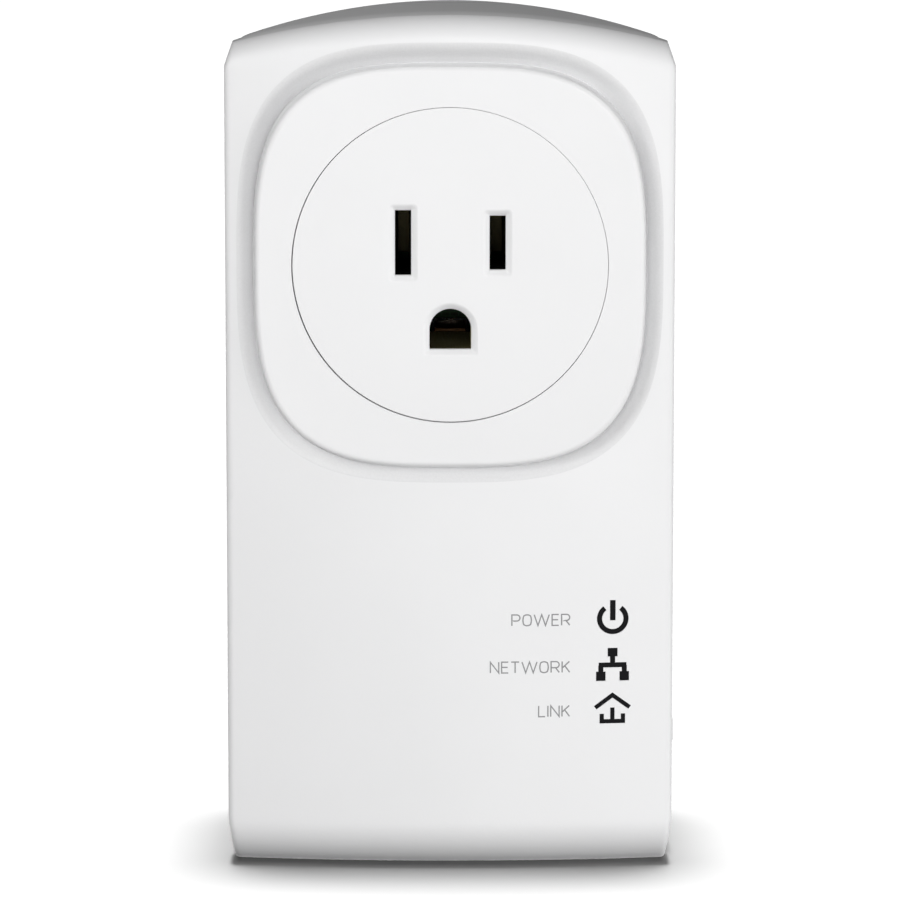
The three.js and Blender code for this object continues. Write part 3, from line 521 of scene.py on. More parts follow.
def letters():
    """Strokes of each letter in the legends, on a cell one unit high, with the letter's width."""
    bowl = arc(0.45, 0.72, 0.28, 90, -90, 10)
    ring = []
    ring_steps = 32
    squareness = 0.35
    for step in range(ring_steps):
        turn = 2 * pi * step / ring_steps
        pull = max(abs(cos(turn)), abs(sin(turn))) ** squareness
        ring.append((0.38 + 0.38 * cos(turn) / pull, 0.5 + 0.5 * sin(turn) / pull))
    return {
        "P": (0.74, [[(0, 0), (0, 1)] + bowl + [(0, 0.44)]]),
        "O": (0.76, [ring]),
        "W": (1.36, [[(0, 1), (0.34, 0), (0.68, 1), (1.02, 0), (1.36, 1)]]),
        "E": (0.6, [[(0.6, 1), (0, 1), (0, 0), (0.6, 0)], [(0, 0.52), (0.54, 0.52)]]),
        "R": (0.74, [[(0, 0), (0, 1)] + bowl + [(0, 0.44)], [(0.4, 0.44), (0.74, 0)]]),
        "N": (0.76, [[(0, 0), (0, 1), (0.76, 0), (0.76, 1)]]),
        "T": (0.72, [[(0, 1), (0.72, 1)], [(0.36, 1), (0.36, 0)]]),
        "K": (0.68, [[(0, 0), (0, 1)], [(0.66, 1), (0.03, 0.42)], [(0.24, 0.6), (0.68, 0)]]),
        "L": (0.58, [[(0, 1), (0, 0), (0.58, 0)]]),
        "I": (0.0, [[(0, 0), (0, 1)]]),
    }


def legend(word, z, name):
    """A printed word, ending at LEGEND_RIGHT, that hugs the crowned face."""
    gap = 0.26
    alphabet = letters()
    width = sum(alphabet[letter][0] + gap for letter in word) - gap
    x = LEGEND_RIGHT - width * LEGEND_HEIGHT
    parts = []
    for letter in word:
        wide, strokes = alphabet[letter]
        for stroke in strokes:
            points = [(x + px * LEGEND_HEIGHT, z + (pz - 0.5) * LEGEND_HEIGHT) for px, pz in stroke]
            parts.append(ribbon(points, LEGEND_STROKE, -FAR, FAR, closed=letter == "O"))
        x += (wide + gap) * LEGEND_HEIGHT
    print_solid = combine(parts[0], parts[1:], "UNION")
    skin_steps = 24
    proud = 0.015
    sunk = 0.05
    left = LEGEND_RIGHT - width * LEGEND_HEIGHT - FAR
    low = z - LEGEND_HEIGHT
    high = z + LEGEND_HEIGHT
    rings = []
    for step in range(skin_steps + 1):
        px = left + (LEGEND_RIGHT + FAR - left) * step / skin_steps
        fall = CROWN * px * px
        rings.append([at(px, fall - proud, low), at(px, fall - proud, high),
                      at(px, fall + sunk, high), at(px, fall + sunk, low)])
    combine(print_solid, [loft("tool", rings)], "INTERSECT")
    print_solid.name = name
    return print_solid


# ---------- the pieces of the case ----------
ICONS = (power_icon, network_icon, home_icon)


def front_cover():
    """The cover with its hollow, its openings and the four screw posts behind it."""
    cover = cover_blank("front_cover")
    inside = HALF_WIDTH - WALL
    roof = HEIGHT - 2.4
    hollow = 7.0  # depth where the hollow behind the groove starts
    arch_steps = 8
    arch = [inside * (1 - 2 * step / arch_steps) for step in range(arch_steps + 1)]
    hollow_outline = [(-inside, WALL), (inside, WALL)] + [(x, roof - TOP_ARCH * x * x) for x in arch]
    guide_side = inside - 0.5
    guide_top = 51  # below this height the hollow reaches forward to the light guides' flanges
    hole = DISC_RADIUS + SEAM - 0.05
    hole_lip = 0.04
    tools = [
        prism(hollow_outline, hollow, PARTING + FAR),
        box_tool(-guide_side, guide_side, GUIDE_FLANGE - SEAM, PARTING + FAR, 5, guide_top),
        rod(0, DISC_Z, DISC_RADIUS + 2.6, 2.3, hollow + FAR, 96),
        turned(0, DISC_Z, [(hole + hole_lip, -FAR), (hole + hole_lip, 0.0), (hole, 0.05), (hole, 3.2)], 192),
    ]
    gap = 0.05
    for draw, node in zip(ICONS, ICON_NODES):
        tools.append(strokes_solid(draw(ICON_X, middle(node).z, gap), gap, -FAR, GUIDE_FLANGE))
    combine(cover, tools)
    post_root = 4.2  # inside the face
    bore_end = 11
    bore_radius = 1.4
    combine(cover, [rod(spot.x, spot.z, POST_RADIUS, post_root, POST_END) for spot in SCREWS], "UNION")
    combine(cover, [rod(spot.x, spot.z, bore_radius, bore_end, POST_END + 2 * SEAM) for spot in SCREWS])
    smooth(clean(cover))
    close_to = 0.01
    for edge in cover.data.edges:
        ends = [cover.data.vertices[index].co / MM for index in edge.vertices]
        if all(abs(top_edge(end.x) - end.z) < close_to for end in ends):
            edge.use_edge_sharp = True  # the rolled top ends in a crisp line
    return cover


def case_outline(side, top, bottom, radius):
    """The rear case's outline, anticlockwise from its lower left, pulled in by side, top and bottom."""
    half = REAR_HALF_WIDTH - side
    roof = REAR_TOP - top

    def half_at(z):
        return half - BOTTOM_TAPER["inset"] * max(0.0, 1 - z / BOTTOM_TAPER["height"])

    foot = 0.5 + bottom / 4  # rounding of the bottom corners
    low = bottom + foot
    turn = 90 - degrees(atan2(2 * REAR_ARCH * half, 1))  # from the side to the roof's slope
    tangent_x = half - radius + radius * cos(radians(turn))
    centre_z = roof - REAR_ARCH * tangent_x ** 2 - radius * sin(radians(turn))
    side_steps = 26
    heights = [low + (centre_z - low) * step / side_steps for step in range(1, side_steps)]
    roof_steps = 18
    across = [tangent_x * (1 - step / roof_steps) for step in range(1, roof_steps)]
    right = arc(half_at(low) - foot, low, foot, -90, 0, 4)
    right += [(half_at(z), z) for z in heights]
    right += arc(half - radius, centre_z, radius, 0, turn, 6)
    right += [(x, roof - REAR_ARCH * x * x) for x in across]
    crest = [(0.0, roof)]
    sole = [(0.0, bottom)]
    return sole + right + crest + [(-x, z) for x, z in reversed(right)]


def corner_inset(depth, radius, rear):
    """How far a rounded rear edge has pulled the outline in, at a depth."""
    into = max(0.0, depth - (rear - radius))
    return radius - sqrt(max(0.0, radius ** 2 - min(into, radius) ** 2))


def case_loft(wall, depths, name="tool", lip=0.0):
    """The rear case's outer form, or with a wall its hollow; the lip narrows the first ring."""
    rear = DEPTH - wall
    start = PARTING + SEAM
    rings = []
    for number, depth in enumerate(depths):
        back = max(0.0, depth - start) / (DEPTH - start)
        edge = lip if number == 0 else 0.0
        side = wall + SIDE_DRAFT * back + edge + corner_inset(depth, SIDE_CORNER - wall / 2, rear)
        top = wall + TOP_DRAFT * back + edge + corner_inset(depth, TOP_CORNER - wall / 2, rear)
        bottom = wall + edge + corner_inset(depth, TOP_CORNER - wall / 2, rear)
        radius = 1.2 + 0.3 * corner_inset(depth, SIDE_CORNER, rear)
        rings.append([at(x, depth, z) for x, z in case_outline(side, top, bottom, radius)])
    return loft(name, rings)


def case_depths():
    start = PARTING + SEAM
    straight = [start, start + 0.2, start + 0.5] + [start + 0.5 + 5 * step for step in range(1, 6)]
    return straight + [DEPTH - SIDE_CORNER * (1 - sin(turn)) for turn in quarter(10)]


def vent_tool(sign, z, height, depth0, depth1):
    """A slot through the case's side with a softly flared mouth."""
    mouth = ((-2 * WALL, 0.0), (-0.3, 0.0), (-0.12, 0.05), (0.0, 0.16), (0.3, 0.6))  # how far out, and wider
    rings = []
    for out, grow in mouth:
        outline = round_box(depth0 - grow, depth1 + grow, z - grow, z + height + grow, 0.5 + grow)
        ring = []
        for depth, pz in outline:
            surface = REAR_HALF_WIDTH - SIDE_DRAFT * (depth - PARTING) / (DEPTH - PARTING)
            ring.append(at(sign * (surface + out), depth, pz))
        rings.append(ring)
    return loft("tool", rings)


def vents():
    """Twelve slots in each side."""
    pitch = 4.8
    lowest = 41
    height = 1.7
    front = 15
    rear = 33
    return [vent_tool(sign, lowest + row * pitch, height, front, rear)
            for row in range(12) for sign in (-1, 1)]


def button_window():
    """The hole in the case's right side that the pairing button's cap shows in."""
    clearance = 0.3
    button = middle("sync_button")
    depth = button.y - FRONT_Y
    half_length = PRESS_LENGTH / 2 + clearance
    half_height = PRESS_HEIGHT / 2 + clearance
    outline = round_box(depth - half_length, depth + half_length,
                        button.z - half_height, button.z + half_height, 0.6)
    return loft("tool", [[at(REAR_HALF_WIDTH + out, d, z) for d, z in outline] for out in (-2 * WALL, FAR)])


def floor_openings():
    """The mouth of the network jack and the round reset hole, through the case's bottom."""
    low, high = extent("network_jack")
    reset = middle("reset_plunger")
    inner = WALL + FAR
    reset_hole = circle(reset.x, reset.y - FRONT_Y, 1.1, 36)
    return [
        box_tool(low.x - SEAM, high.x + SEAM, low.y - FRONT_Y - SEAM, high.y - FRONT_Y + SEAM, -FAR, inner),
        loft("tool", [[at(x, depth, z) for x, depth in reset_hole] for z in (-FAR, inner)]),
    ]


def back_recess(node, margin, corner, levels):
    """A recess in the back, wider than the node by the margin; its levels' depths count from the back."""
    low, high = extent(node)

    def outline(grow):
        wider = margin + grow
        return round_box(low.x - wider, high.x + wider, low.z - wider, high.z + wider, corner + grow)

    return stack(outline, [(DEPTH + level, grow) for level, grow in levels])


def rear_case():
    """The case with its hollow, its openings and the four posts that take the screws."""
    case = case_loft(0.0, case_depths(), "rear_case", lip=0.25)
    hollow_depths = [PARTING - FAR] + [depth - WALL for depth in case_depths() if depth > PARTING + 3]
    combine(case, [case_loft(WALL, hollow_depths)])
    post_front = POST_END + 2 * SEAM
    combine(case, [rod(spot.x, spot.z, POST_RADIUS + 0.6, post_front, DEPTH - 1) for spot in SCREWS], "UNION")
    tools = vents() + [button_window()] + floor_openings()
    tools.append(back_recess("plug_base", -2, 3, [(-4, 0), (-0.25, 0), (-0.1, 0.06), (0, 0.2), (FAR, 0.6)]))
    tools.append(back_recess("rating_label", 0.5, 1, [(-0.5, 0), (-0.15, 0), (0, 0.15), (FAR, 0.5)]))
    shank_radius = 1.6
    head = [(2.8, -3), (2.8, -0.3), (2.9, -0.1), (3.1, 0), (3.6, FAR)]  # radius, and depth from the back
    for spot in SCREWS:
        tools.append(rod(spot.x, spot.z, shank_radius, POST_END - 0.7, DEPTH + FAR, 32))
        tools.append(turned(spot.x, spot.z, [(radius, DEPTH + level) for radius, level in head], 48))
    combine(case, tools)
    return smooth(clean(case))


# ---------- the outlet ----------
INSERT_BACK = 5.0  # this depth is clear of the insert's back
SLOT_CHAMFER = [  # depth, and how much wider than the slot
    (-FAR, 1.5), (0.0, 0.9), (0.04, 0.74), (0.12, 0.6), (0.55, 0.12), (0.62, 0.04), (0.75, 0.0),
    (INSERT_BACK + FAR, 0.0)]


def slot_tool(x, slot):
    """Cuts a blade's slot with its softly chamfered mouth."""
    def outline(grow):
        half_width = slot["width"] / 2 + grow
        half_height = slot["height"] / 2 + grow
        return round_box(x - half_width, x + half_width, SLOT_Z - half_height, SLOT_Z + half_height,
                         0.08 + 0.5 * grow, 4)

    return stack(outline, SLOT_CHAMFER)


def ground_tool():
    """Cuts the D-shaped ground hole, flat side down."""
    def outline(grow):
        radius = GROUND_RADIUS + grow
        corner = 0.12 + 0.4 * grow
        floor = GROUND_Z - GROUND_FLAT - grow
        return (arc(0, GROUND_Z, radius, 0, 180, 28)
                + arc(-radius + corner, floor + corner, corner, 180, 270, 4)
                + arc(radius - corner, floor + corner, corner, 270, 360, 4))

    return stack(outline, SLOT_CHAMFER)


def outlet_insert():
    """The round insert with its slots, its seat behind the cover and room for the contacts."""
    edge = 0.06
    flange_front = 2.45
    flange_radius = DISC_RADIUS + 2.2
    profile = [(DISC_RADIUS - 6, 0.0), (DISC_RADIUS - edge - 0.15, 0.0)]
    profile += [(DISC_RADIUS - edge * (1 - sin(turn)), edge * (1 - cos(turn))) for turn in quarter(5)]
    profile += [(DISC_RADIUS, flange_front), (flange_radius, flange_front), (flange_radius, 4.2)]
    insert = turned(0, DISC_Z, profile, 192, "outlet_insert")
    front = 1.3  # the pockets behind the slots start at this depth
    half_width = 2.6
    half_height = 5.9
    tools = [slot_tool(-BLADE_X, NEUTRAL_SLOT), slot_tool(BLADE_X, LINE_SLOT), ground_tool()]
    for x in (-BLADE_X, BLADE_X):
        tools.append(box_tool(x - half_width, x + half_width, front, INSERT_BACK,
                              BLADE_Z - half_height, BLADE_Z + half_height))
    margin = 0.8
    half_width = GROUND_RADIUS + margin
    tools.append(box_tool(-half_width, half_width, front, INSERT_BACK,
                          GROUND_Z - GROUND_FLAT - margin, GROUND_Z + half_width))
    combine(insert, tools)
    settle = 0.045 * MM  # the insert has settled to the upper right, so its seam is widest at the lower left
    insert.data.transform(Matrix.Translation((settle, 0, settle)))
    smooth(clean(insert))
    for face in insert.data.polygons:
        face.use_smooth = face.normal.y > -0.9999  # the flat front keeps one even tone
    return insert


def ground_channel():
    """The folded brass channel under the ground hole; it starts close behind the insert."""
    low, high = extent("ground_contact")
    leaf = 0.2
    front = 1.4
    rear = high.y - FRONT_Y
    outline = [
        (low.x, low.z), (high.x, low.z), (high.x, high.z), (high.x - leaf, high.z),
        (high.x - leaf, low.z + leaf), (low.x + leaf, low.z + leaf), (low.x + leaf, high.z), (low.x, high.z)]
    return smooth(prism(outline, front, rear, "ground_channel"))


def light_guide(number):
    """A smoked guide: its icon is flush with the cover, with a flange and a light pipe behind."""
    z = middle(ICON_NODES[number]).z
    half_width = 2.9
    half_height = 2.85

    def outline(grow):
        return round_box(ICON_X - half_width - grow, ICON_X + half_width + grow,
                         z - half_height - grow, z + half_height + grow, 0.5 + grow)

    emboss = strokes_solid(ICONS[number](ICON_X, z, 0.0), 0.0, -FAR, GUIDE_FLANGE + 0.2)
    combine(emboss, [cover_blank()], "INTERSECT")
    flange = stack(outline, [
        (GUIDE_FLANGE, -0.1), (GUIDE_FLANGE + 0.1, 0), (GUIDE_FLANGE + 0.9, 0), (GUIDE_FLANGE + 1, -0.1)])
    pipe = turned(ICON_X, z, [(1.5, 5.5), (1.5, 8.5), (1.3, 8.7)], 32)
    combine(emboss, [flange, pipe], "UNION")
    return smooth(clean(emboss))


# ---------- the pairing button ----------
def pairing_button():
    """The cap that shows in the case's side, with soft edges, and the flange that keeps it in."""
    low, high = extent("sync_button")
    depth = (low.y + high.y) / 2 - FRONT_Y
    z = (low.z + high.z) / 2
    cap_x = high.x - 0.3  # the cap hardly stands proud of the case
    edge = 0.45
    dish = 0.12
    levels = [(low.x + 0.6, 0.0), (cap_x - edge, 0.0)]  # how far out, and how much wider
    levels += [(cap_x - edge * (1 - sin(turn)), -edge * (1 - cos(turn))) for turn in quarter(6, 1)]
    levels += [(cap_x, -edge - 0.15), (cap_x - dish, -edge - 0.75)]

    def outline(grow):
        return round_box(depth - PRESS_LENGTH / 2 - grow, depth + PRESS_LENGTH / 2 + grow,
                         z - PRESS_HEIGHT / 2 - grow, z + PRESS_HEIGHT / 2 + grow, 0.9 + grow * 0.6)

    cap = loft("pairing_button", [[at(x, d, pz) for d, pz in outline(grow)] for x, grow in levels])
    skirt = [(low.x, 1.1), (low.x + 0.1, 1.2), (low.x + 0.9, 1.2), (low.x + 1.0, 1.1)]
    flange = loft("tool", [[at(x, d, pz) for d, pz in outline(grow)] for x, grow in skirt])
    combine(cap, [flange], "UNION")
    return smooth(clean(cap))


# ---------- pieces that keep the CAD's shape, with softened edges ----------
def soften(node, width):
    """A copy of a CAD node with flats made whole and every hard edge rounded."""
    join_reach = 1e-3
    flat_within = radians(1)
    crease = 30
    mesh = frame["nodes"][node].data.copy()
    mesh.materials.clear()
    piece = add(f"{node}_fine", mesh)
    with reshaping(mesh) as form:
        bmesh.ops.remove_doubles(form, verts=form.verts, dist=join_reach * MM)
        bmesh.ops.dissolve_limit(form, angle_limit=flat_within, verts=form.verts, edges=form.edges)
    bevel = piece.modifiers.new("soft edges", "BEVEL")
    bevel.width = width * MM
    bevel.segments = 2
    bevel.limit_method = "ANGLE"
    bevel.angle_limit = radians(crease)
    bevel.use_clamp_overlap = True
    settled = bpy.context.evaluated_depsgraph_get()
    fine = bpy.data.meshes.new_from_object(piece.evaluated_get(settled))
    piece.modifiers.clear()
    piece.data = fine
    return smooth(piece, crease)


# ---------- materials ----------
MATERIALS = {}


def surface(name, color, roughness, metallic=0.0, **sockets):
    """Adds a Principled material; the numbers that are the same all over go straight on its sockets."""
    material = bpy.data.materials.new(name)
    MATERIALS[name] = material
    material.use_nodes = True
    shader = material.node_tree.nodes["Principled BSDF"]
    shader.inputs["Base Color"].default_value = (*color, 1)
    shader.inputs["Roughness"].default_value = roughness
    shader.inputs["Metallic"].default_value = metallic
    for socket, value in sockets.items():
        shader.inputs[socket.replace("_", " ")].default_value = value
    return material.node_tree, shader


def texture_node(tree, kind, mapped=None, **sockets):
    """A texture in the object's own coordinates, or in those that a mapping makes of them."""
    place = tree.nodes.new("ShaderNodeTexCoord")
    texture = tree.nodes.new(kind)
    for socket, value in sockets.items():
        texture.inputs[socket.replace("_", " ")].default_value = value
    source = place.outputs["Object"]
    if mapped:
        mapping = tree.nodes.new("ShaderNodeMapping")
        for socket, value in mapped.items():
            mapping.inputs[socket].default_value = value
        tree.links.new(source, mapping.inputs["Vector"])
        source = mapping.outputs["Vector"]
    tree.links.new(source, texture.inputs["Vector"])
    return texture


def noise(tree, scale, detail=3.0, mapped=None, rough=0.5):
    """Noise with its scale in features per metre."""
    texture = texture_node(tree, "ShaderNodeTexNoise", mapped, Scale=scale, Detail=detail, Roughness=rough)
    return texture.outputs["Fac"]


def ramp(tree, source, low, high, start=0.3, end=0.7):
    """Turns a grey value into one between two colours or two numbers."""
    node = tree.nodes.new("ShaderNodeValToRGB")
    node.color_ramp.elements[0].position = start
    node.color_ramp.elements[1].position = end
    for element, value in zip(node.color_ramp.elements, (low, high)):
        element.color = (*value, 1) if hasattr(value, "__len__") else (value, value, value, 1)
    tree.links.new(source, node.inputs["Fac"])
    return node.outputs["Color"]


def bump(tree, shader, source, strength, height):
    node = tree.nodes.new("ShaderNodeBump")
    node.inputs["Strength"].default_value = strength
    node.inputs["Distance"].default_value = height * MM
    tree.links.new(source, node.inputs["Height"])
    tree.links.new(node.outputs["Normal"], shader.inputs["Normal"])


def shade(color, amount):
    return tuple(min(1.0, channel * (1 + amount)) for channel in color)


def moulded(name, color, roughness, grain=2600, depth=0.35, vary=0.012, **sockets):
    """Moulded plastic: a spark-eroded grain, faint flow clouds and slightly uneven gloss.

    Grain is in features per metre, depth is the bump's strength, and vary is the colour's spread.
    """
    tree, shader = surface(name, color, roughness, **sockets)
    clouds = noise(tree, 45, 4)
    fine = noise(tree, grain, 2)
    tree.links.new(ramp(tree, clouds, shade(color, -vary), shade(color, vary)), shader.inputs["Base Color"])
    tree.links.new(ramp(tree, fine, roughness - 0.05, roughness + 0.06), shader.inputs["Roughness"])
    bump(tree, shader, fine, depth, 0.02)


def grained(name, color, roughness):
    """The coarser, matt grain of the groove round the outlet."""
    tree, shader = surface(name, color, roughness)
    coarse = noise(tree, 3400, 3, rough=0.65)
    tree.links.new(ramp(tree, coarse, shade(color, -0.03), shade(color, 0.02)), shader.inputs["Base Color"])
    tree.links.new(ramp(tree, coarse, roughness - 0.05, roughness + 0.1), shader.inputs["Roughness"])
    bump(tree, shader, coarse, 0.4, 0.04)


def drawn_metal(name, color, roughness, stretch=(1, 0.05, 1), tarnish=0.12):
    """Rolled or plated sheet metal: fine lines along one way, with clouded tarnish."""
    tree, shader = surface(name, color, roughness, metallic=1.0)
    lines = noise(tree, 5200, 3, {"Scale": stretch})
    clouds = noise(tree, 260, 4)
    tree.links.new(ramp(tree, clouds, shade(color, -tarnish), color), shader.inputs["Base Color"])
    tree.links.new(ramp(tree, lines, roughness - 0.06, roughness + 0.14), shader.inputs["Roughness"])
    bump(tree, shader, lines, 0.25, 0.01)


def circuit_board(name, color):
    """Solder mask in slightly uneven fields, with paler tracks between them."""
    tree, shader = surface(name, color, 0.35, Coat_Weight=0.3)
    upright = {"Rotation": (pi / 2, 0, 0)}
    tracks = texture_node(
        tree, "ShaderNodeTexBrick", upright, Scale=420, Mortar_Size=0.03, Color1=(*color, 1),
        Color2=(*shade(color, -0.15), 1), Mortar=(*shade(color, 0.5), 1))
    tree.links.new(tracks.outputs["Color"], shader.inputs["Base Color"])
    bump(tree, shader, tracks.outputs["Fac"], 0.3, 0.03)


def wound(name, color):
    """Wrapped tape or wire: even turns with a soft sheen, with painted shade between the turns and a faint
    painted highlight on their crests.
    """
    tree, shader = surface(name, color, 0.4)
    turns = texture_node(tree, "ShaderNodeTexWave", Scale=500, Distortion=0.6)
    turns.bands_direction = "Y"
    # darker in the troughs between turns and a little lighter on their crests: painted shade and a painted
    # highlight
    painted_turn_shade = ramp(tree, turns.outputs["Fac"], shade(color, -0.25), shade(color, 0.08), 0.1, 0.9)
    tree.links.new(painted_turn_shade, shader.inputs["Base Color"])
    bump(tree, shader, turns.outputs["Fac"], 0.5, 0.06)


WHITE = (0.86, 0.86, 0.865)
# Each of these calls adds its material to MATERIALS.
moulded("white_face", WHITE, 0.42)
moulded("white_case", WHITE, 0.5, depth=0.5)
moulded("black_insulator", (0.008, 0.008, 0.008), 0.75, vary=0.2, Specular_IOR_Level=0.2)
drawn_metal("contact_brass", (0.36, 0.32, 0.17), 0.5)
drawn_metal("copper_bar", (0.32, 0.18, 0.11), 0.45)
drawn_metal("plated_blade", (0.78, 0.76, 0.72), 0.24, tarnish=0.08)
circuit_board("board_green", (0.018, 0.13, 0.05))
moulded("ferrite", (0.035, 0.034, 0.034), 0.7, grain=1500, depth=0.8, vary=0.25)
wound("winding_tape", (0.75, 0.5, 0.06))
moulded("capacitor_sleeve", (0.02, 0.026, 0.035), 0.3, depth=0.1, vary=0.1)
moulded("film_yellow", (0.75, 0.5, 0.04), 0.42, vary=0.05)
moulded("varistor_blue", (0.03, 0.11, 0.38), 0.35, grain=900, vary=0.08)
moulded("fuse_ceramic", (0.72, 0.72, 0.7), 0.3, grain=1800, vary=0.03)
moulded("chip_black", (0.015, 0.015, 0.016), 0.55, grain=3800, depth=0.5, vary=0.15)
drawn_metal("heat_sink_alloy", (0.62, 0.63, 0.65), 0.36, stretch=(1, 1, 0.05))
moulded("led_resin", (0.8, 0.76, 0.6), 0.25, vary=0.04, Coat_Weight=0.5)
moulded("smoked_guide", (0.004, 0.004, 0.005), 0.4, depth=0.1, vary=0.2, Specular_IOR_Level=0.07)
moulded("plunger_grey", (0.27, 0.27, 0.28), 0.5, vary=0.05)
drawn_metal("screw_steel", (0.5, 0.5, 0.52), 0.35, stretch=(1, 1, 1))
moulded("label_film", (0.62, 0.63, 0.64), 0.4, grain=1200, depth=0.2, vary=0.03)
moulded("sheet_film", (0.8, 0.72, 0.45), 0.35, grain=700, depth=0.3, vary=0.04)
# The groove is the white made 7% darker: painted shade in the recess, on top of its real matt grain.
grained("groove_grain_painted_shade", shade(WHITE, -0.07), 0.75)
moulded("legend_ink", (0.27, 0.27, 0.275), 0.6, depth=0.2, vary=0.06)


def dress(piece, slot, body, *nodes):
    """Gives a new piece its material and its body, and hides the CAD nodes that it stands for."""
    piece.data.materials.clear()
    piece.data.materials.append(MATERIALS[slot])
    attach(piece, body)
    if nodes:
        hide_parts(*nodes)
    return piece


def paint_groove(cover):
    """The groove's floor and wall take the matt grain with its painted shade, and the rest of the cover keeps
    its gloss.
    """
    off_wall = 0.02
    cover.data.materials.append(MATERIALS["groove_grain_painted_shade"])
    for face in cover.data.polygons:
        x, y, z = face.center / MM
        fall = y - FRONT_Y - CROWN * x * x
        within_groove = squircle(MOAT, x, z - MOAT["z"]) < 1
        off_plateau = squircle(PLATEAU, x, z - PLATEAU["z"], off_wall) > 1
        if within_groove and off_plateau and fall < MOAT_FALL + MOAT_TILT + MOAT_SHOULDER:
            face.material_index = 1


# ---------- the assembly ----------
cover = dress(front_cover(), "white_face", "housing", "front_shell")
paint_groove(cover)
dress(rear_case(), "white_case", "housing", "rear_shell")
dress(outlet_insert(), "white_face", "housing", "outlet_face")
for number, node in enumerate(ICON_NODES):
    guide = light_guide(number)
    guide.name = f"{node}_fine"
    dress(guide, "smoked_guide", "housing", node)
dress(pairing_button(), "white_case", "sync_button", "sync_button")
ground = dress(ground_channel(), "contact_brass", "housing", "ground_contact")

# The record has no slot for ink, so a legend takes a grey one's and is then given its own material.
for word, node in zip(("POWER", "NETWORK", "LINK"), ICON_NODES):
    below = 0.2  # from the icon's middle to the word's
    printed = smooth(legend(word, middle(node).z - below, f"legend_{word.lower()}"), crease=40)
    dress(printed, "plunger_grey", "housing")
    printed.data.materials[0] = MATERIALS["legend_ink"]

SOFT_EDGES = {  # how wide each node's edges are rounded
    "plug_base": 0.25, "neutral_blade": 0.2, "line_blade": 0.2, "ground_pin": 0.1, "outlet_body": 0.25,
    "neutral_contact": 0.08, "line_contact": 0.08, "neutral_busbar": 0.1,
    "line_busbar": 0.1, "earth_strap": 0.1, "logic_board": 0.08, "power_board": 0.08, "board_header": 0.08,
    "transformer_core": 0.3, "transformer_winding": 0.3, "bulk_capacitor_1": 0.15, "bulk_capacitor_2": 0.15,
    "x_capacitor": 0.5, "common_mode_choke": 0.3, "filter_inductor": 0.15, "varistor": 0.4, "fuse": 0.2,
    "bridge_rectifier": 0.25, "coupling_transformer": 0.3, "main_chip": 0.08, "heat_sink": 0.12,
    "memory_chip": 0.08, "network_magnetics": 0.08, "network_jack": 0.15, "jack_contacts": 0.06,
    "power_led": 0.1, "network_led": 0.1, "link_led": 0.1, "sync_plunger": 0.12, "sync_switch": 0.15,
    "reset_plunger": 0.12, "reset_switch": 0.15, "case_screw_1": 0.12, "case_screw_2": 0.12,
    "case_screw_3": 0.12, "case_screw_4": 0.12, "rating_label": 0.04, "insulating_sheet": 0.05,
}
BODY_OF = {}
for body, nodes in frame["record"]["behaviour"]["bodies"].items():
    BODY_OF.update(dict.fromkeys(nodes, body))
fine = {}
for node, width in SOFT_EDGES.items():
    fine[node] = dress(soften(node, width), SLOT_OF[node], BODY_OF[node], node)


# ---------- stage, lights and camera ----------
LIGHT_AIM_M = 0.06  # the lamps look at this height


def floor_plane():
    half_m = 12.0
    corners = [(-half_m, -half_m, 0), (half_m, -half_m, 0), (half_m, half_m, 0), (-half_m, half_m, 0)]
    mesh = bpy.data.meshes.new("floor")
    mesh.from_pydata(corners, [], [(0, 1, 2, 3)])
    floor = add("floor", mesh)
    grey = (0.3, 0.3, 0.3)
    tree, shader = surface("pale_floor", grey, 0.9, Specular_IOR_Level=0.0)
    mottle = ramp(tree, noise(tree, 3, 2), shade(grey, -0.01), shade(grey, 0.01))
    tree.links.new(mottle, shader.inputs["Base Color"])
    mesh.materials.append(MATERIALS["pale_floor"])
    floor.visible_diffuse = False  # the floor throws no light up at the adapter
    floor.visible_shadow = False  # and it lets the low lamps shine through
    return floor


def link_light(lamp, items, kind):
    """A lamp lights only these objects (INCLUDE), or everything but them (EXCLUDE)."""
    group = bpy.data.collections.new(f"{lamp.name}_{kind.lower()}")
    for item in items:
        group.objects.link(item)
    lamp.light_linking.receiver_collection = group
    for link in group.collection_objects:
        link.light_linking.link_state = kind


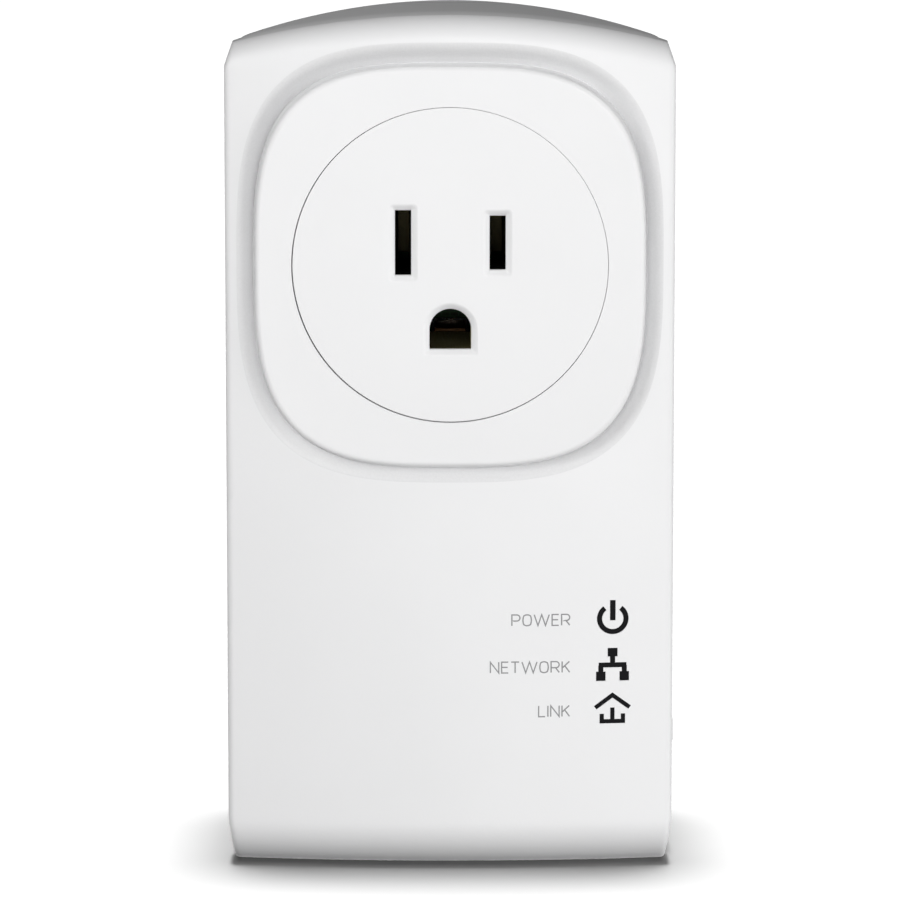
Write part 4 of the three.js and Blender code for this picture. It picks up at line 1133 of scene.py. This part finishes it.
def soft_box(name, azimuth, elevation, power, unlit=(), size_m=0.4, distance_m=0.7):
    """A square lamp that looks at the adapter but not the floor; azimuth 0 is in front, and 90 at +X."""
    data = bpy.data.lights.new(name, "AREA")
    data.size = size_m
    data.energy = power
    lamp = add(name, data)
    turn = radians(azimuth)
    rise = radians(elevation)
    way = Vector((sin(turn) * cos(rise), -cos(turn) * cos(rise), sin(rise)))
    lamp.location = Vector((0, 0, LIGHT_AIM_M)) + way * distance_m
    lamp.rotation_euler = way.to_track_quat("Z", "Y").to_euler()
    lamp.visible_camera = False
    link_light(lamp, [floor, *unlit], "EXCLUDE")


def floor_sun(name, power, tilt, softness):
    """Light from overhead for the floor alone, so that the adapter leaves a short, soft shadow."""
    data = bpy.data.lights.new(name, "SUN")
    data.energy = power
    data.angle = radians(softness)
    lamp = add(name, data)
    lamp.rotation_euler = (radians(-tilt), 0, 0)
    link_light(lamp, [floor], "INCLUDE")


floor = floor_plane()
# The lamps would shine straight into the outlet's slots, so they leave out what lies behind those.
behind_slots = [fine[node] for node in (
    "neutral_contact", "line_contact", "outlet_body", "neutral_busbar", "line_busbar", "earth_strap",
    "power_board", "logic_board")]
deep = behind_slots + [fine[node] for node in ("plug_base", "neutral_blade", "line_blade")]
soft_box("key_high", 0, 14, 1.9, deep)
soft_box("key_right", 20, -4, 1.03, deep + [ground])
soft_box("right_high", 70, 14, 1.0, deep + [ground])
soft_box("right_low", 70, -22, 1.35, deep + [ground])
soft_box("left_high", -45, 35, 0.85, deep)
soft_box("left_near", -45, 25, 0.31, deep, size_m=0.22, distance_m=0.4)
soft_box("back", 180, -20, 4.2, behind_slots)
floor_sun("floor_sun", 9.4, 4.0, 12)
floor_sun("floor_sky", 1.9, 0, 70)

world = bpy.data.worlds.new("studio")
scene.world = world
world.use_nodes = True
world.node_tree.nodes["Background"].inputs["Color"].default_value = (1, 1, 1, 1)
world.node_tree.nodes["Background"].inputs["Strength"].default_value = 0.045
scene.view_settings.view_transform = "Standard"

CAMERA_TILT = radians(8.7)
CAMERA_REACH = 731.0  # from the front plane, at the height that the camera looks at
AIM_Z = 57.8
camera_data = bpy.data.cameras.new("camera")
camera_data.sensor_width = 36
camera_data.lens = 216.8
camera_data.clip_start = 10 * MM
camera_data.clip_end = 60000 * MM
camera = add("camera", camera_data)
camera_y = FRONT_Y - CAMERA_REACH * cos(CAMERA_TILT)
camera_z = AIM_Z + CAMERA_REACH * sin(CAMERA_TILT)
camera.location = (0, camera_y * MM, camera_z * MM)
camera.rotation_euler = (pi / 2 - CAMERA_TILT, 0, 0)
scene.camera = camera
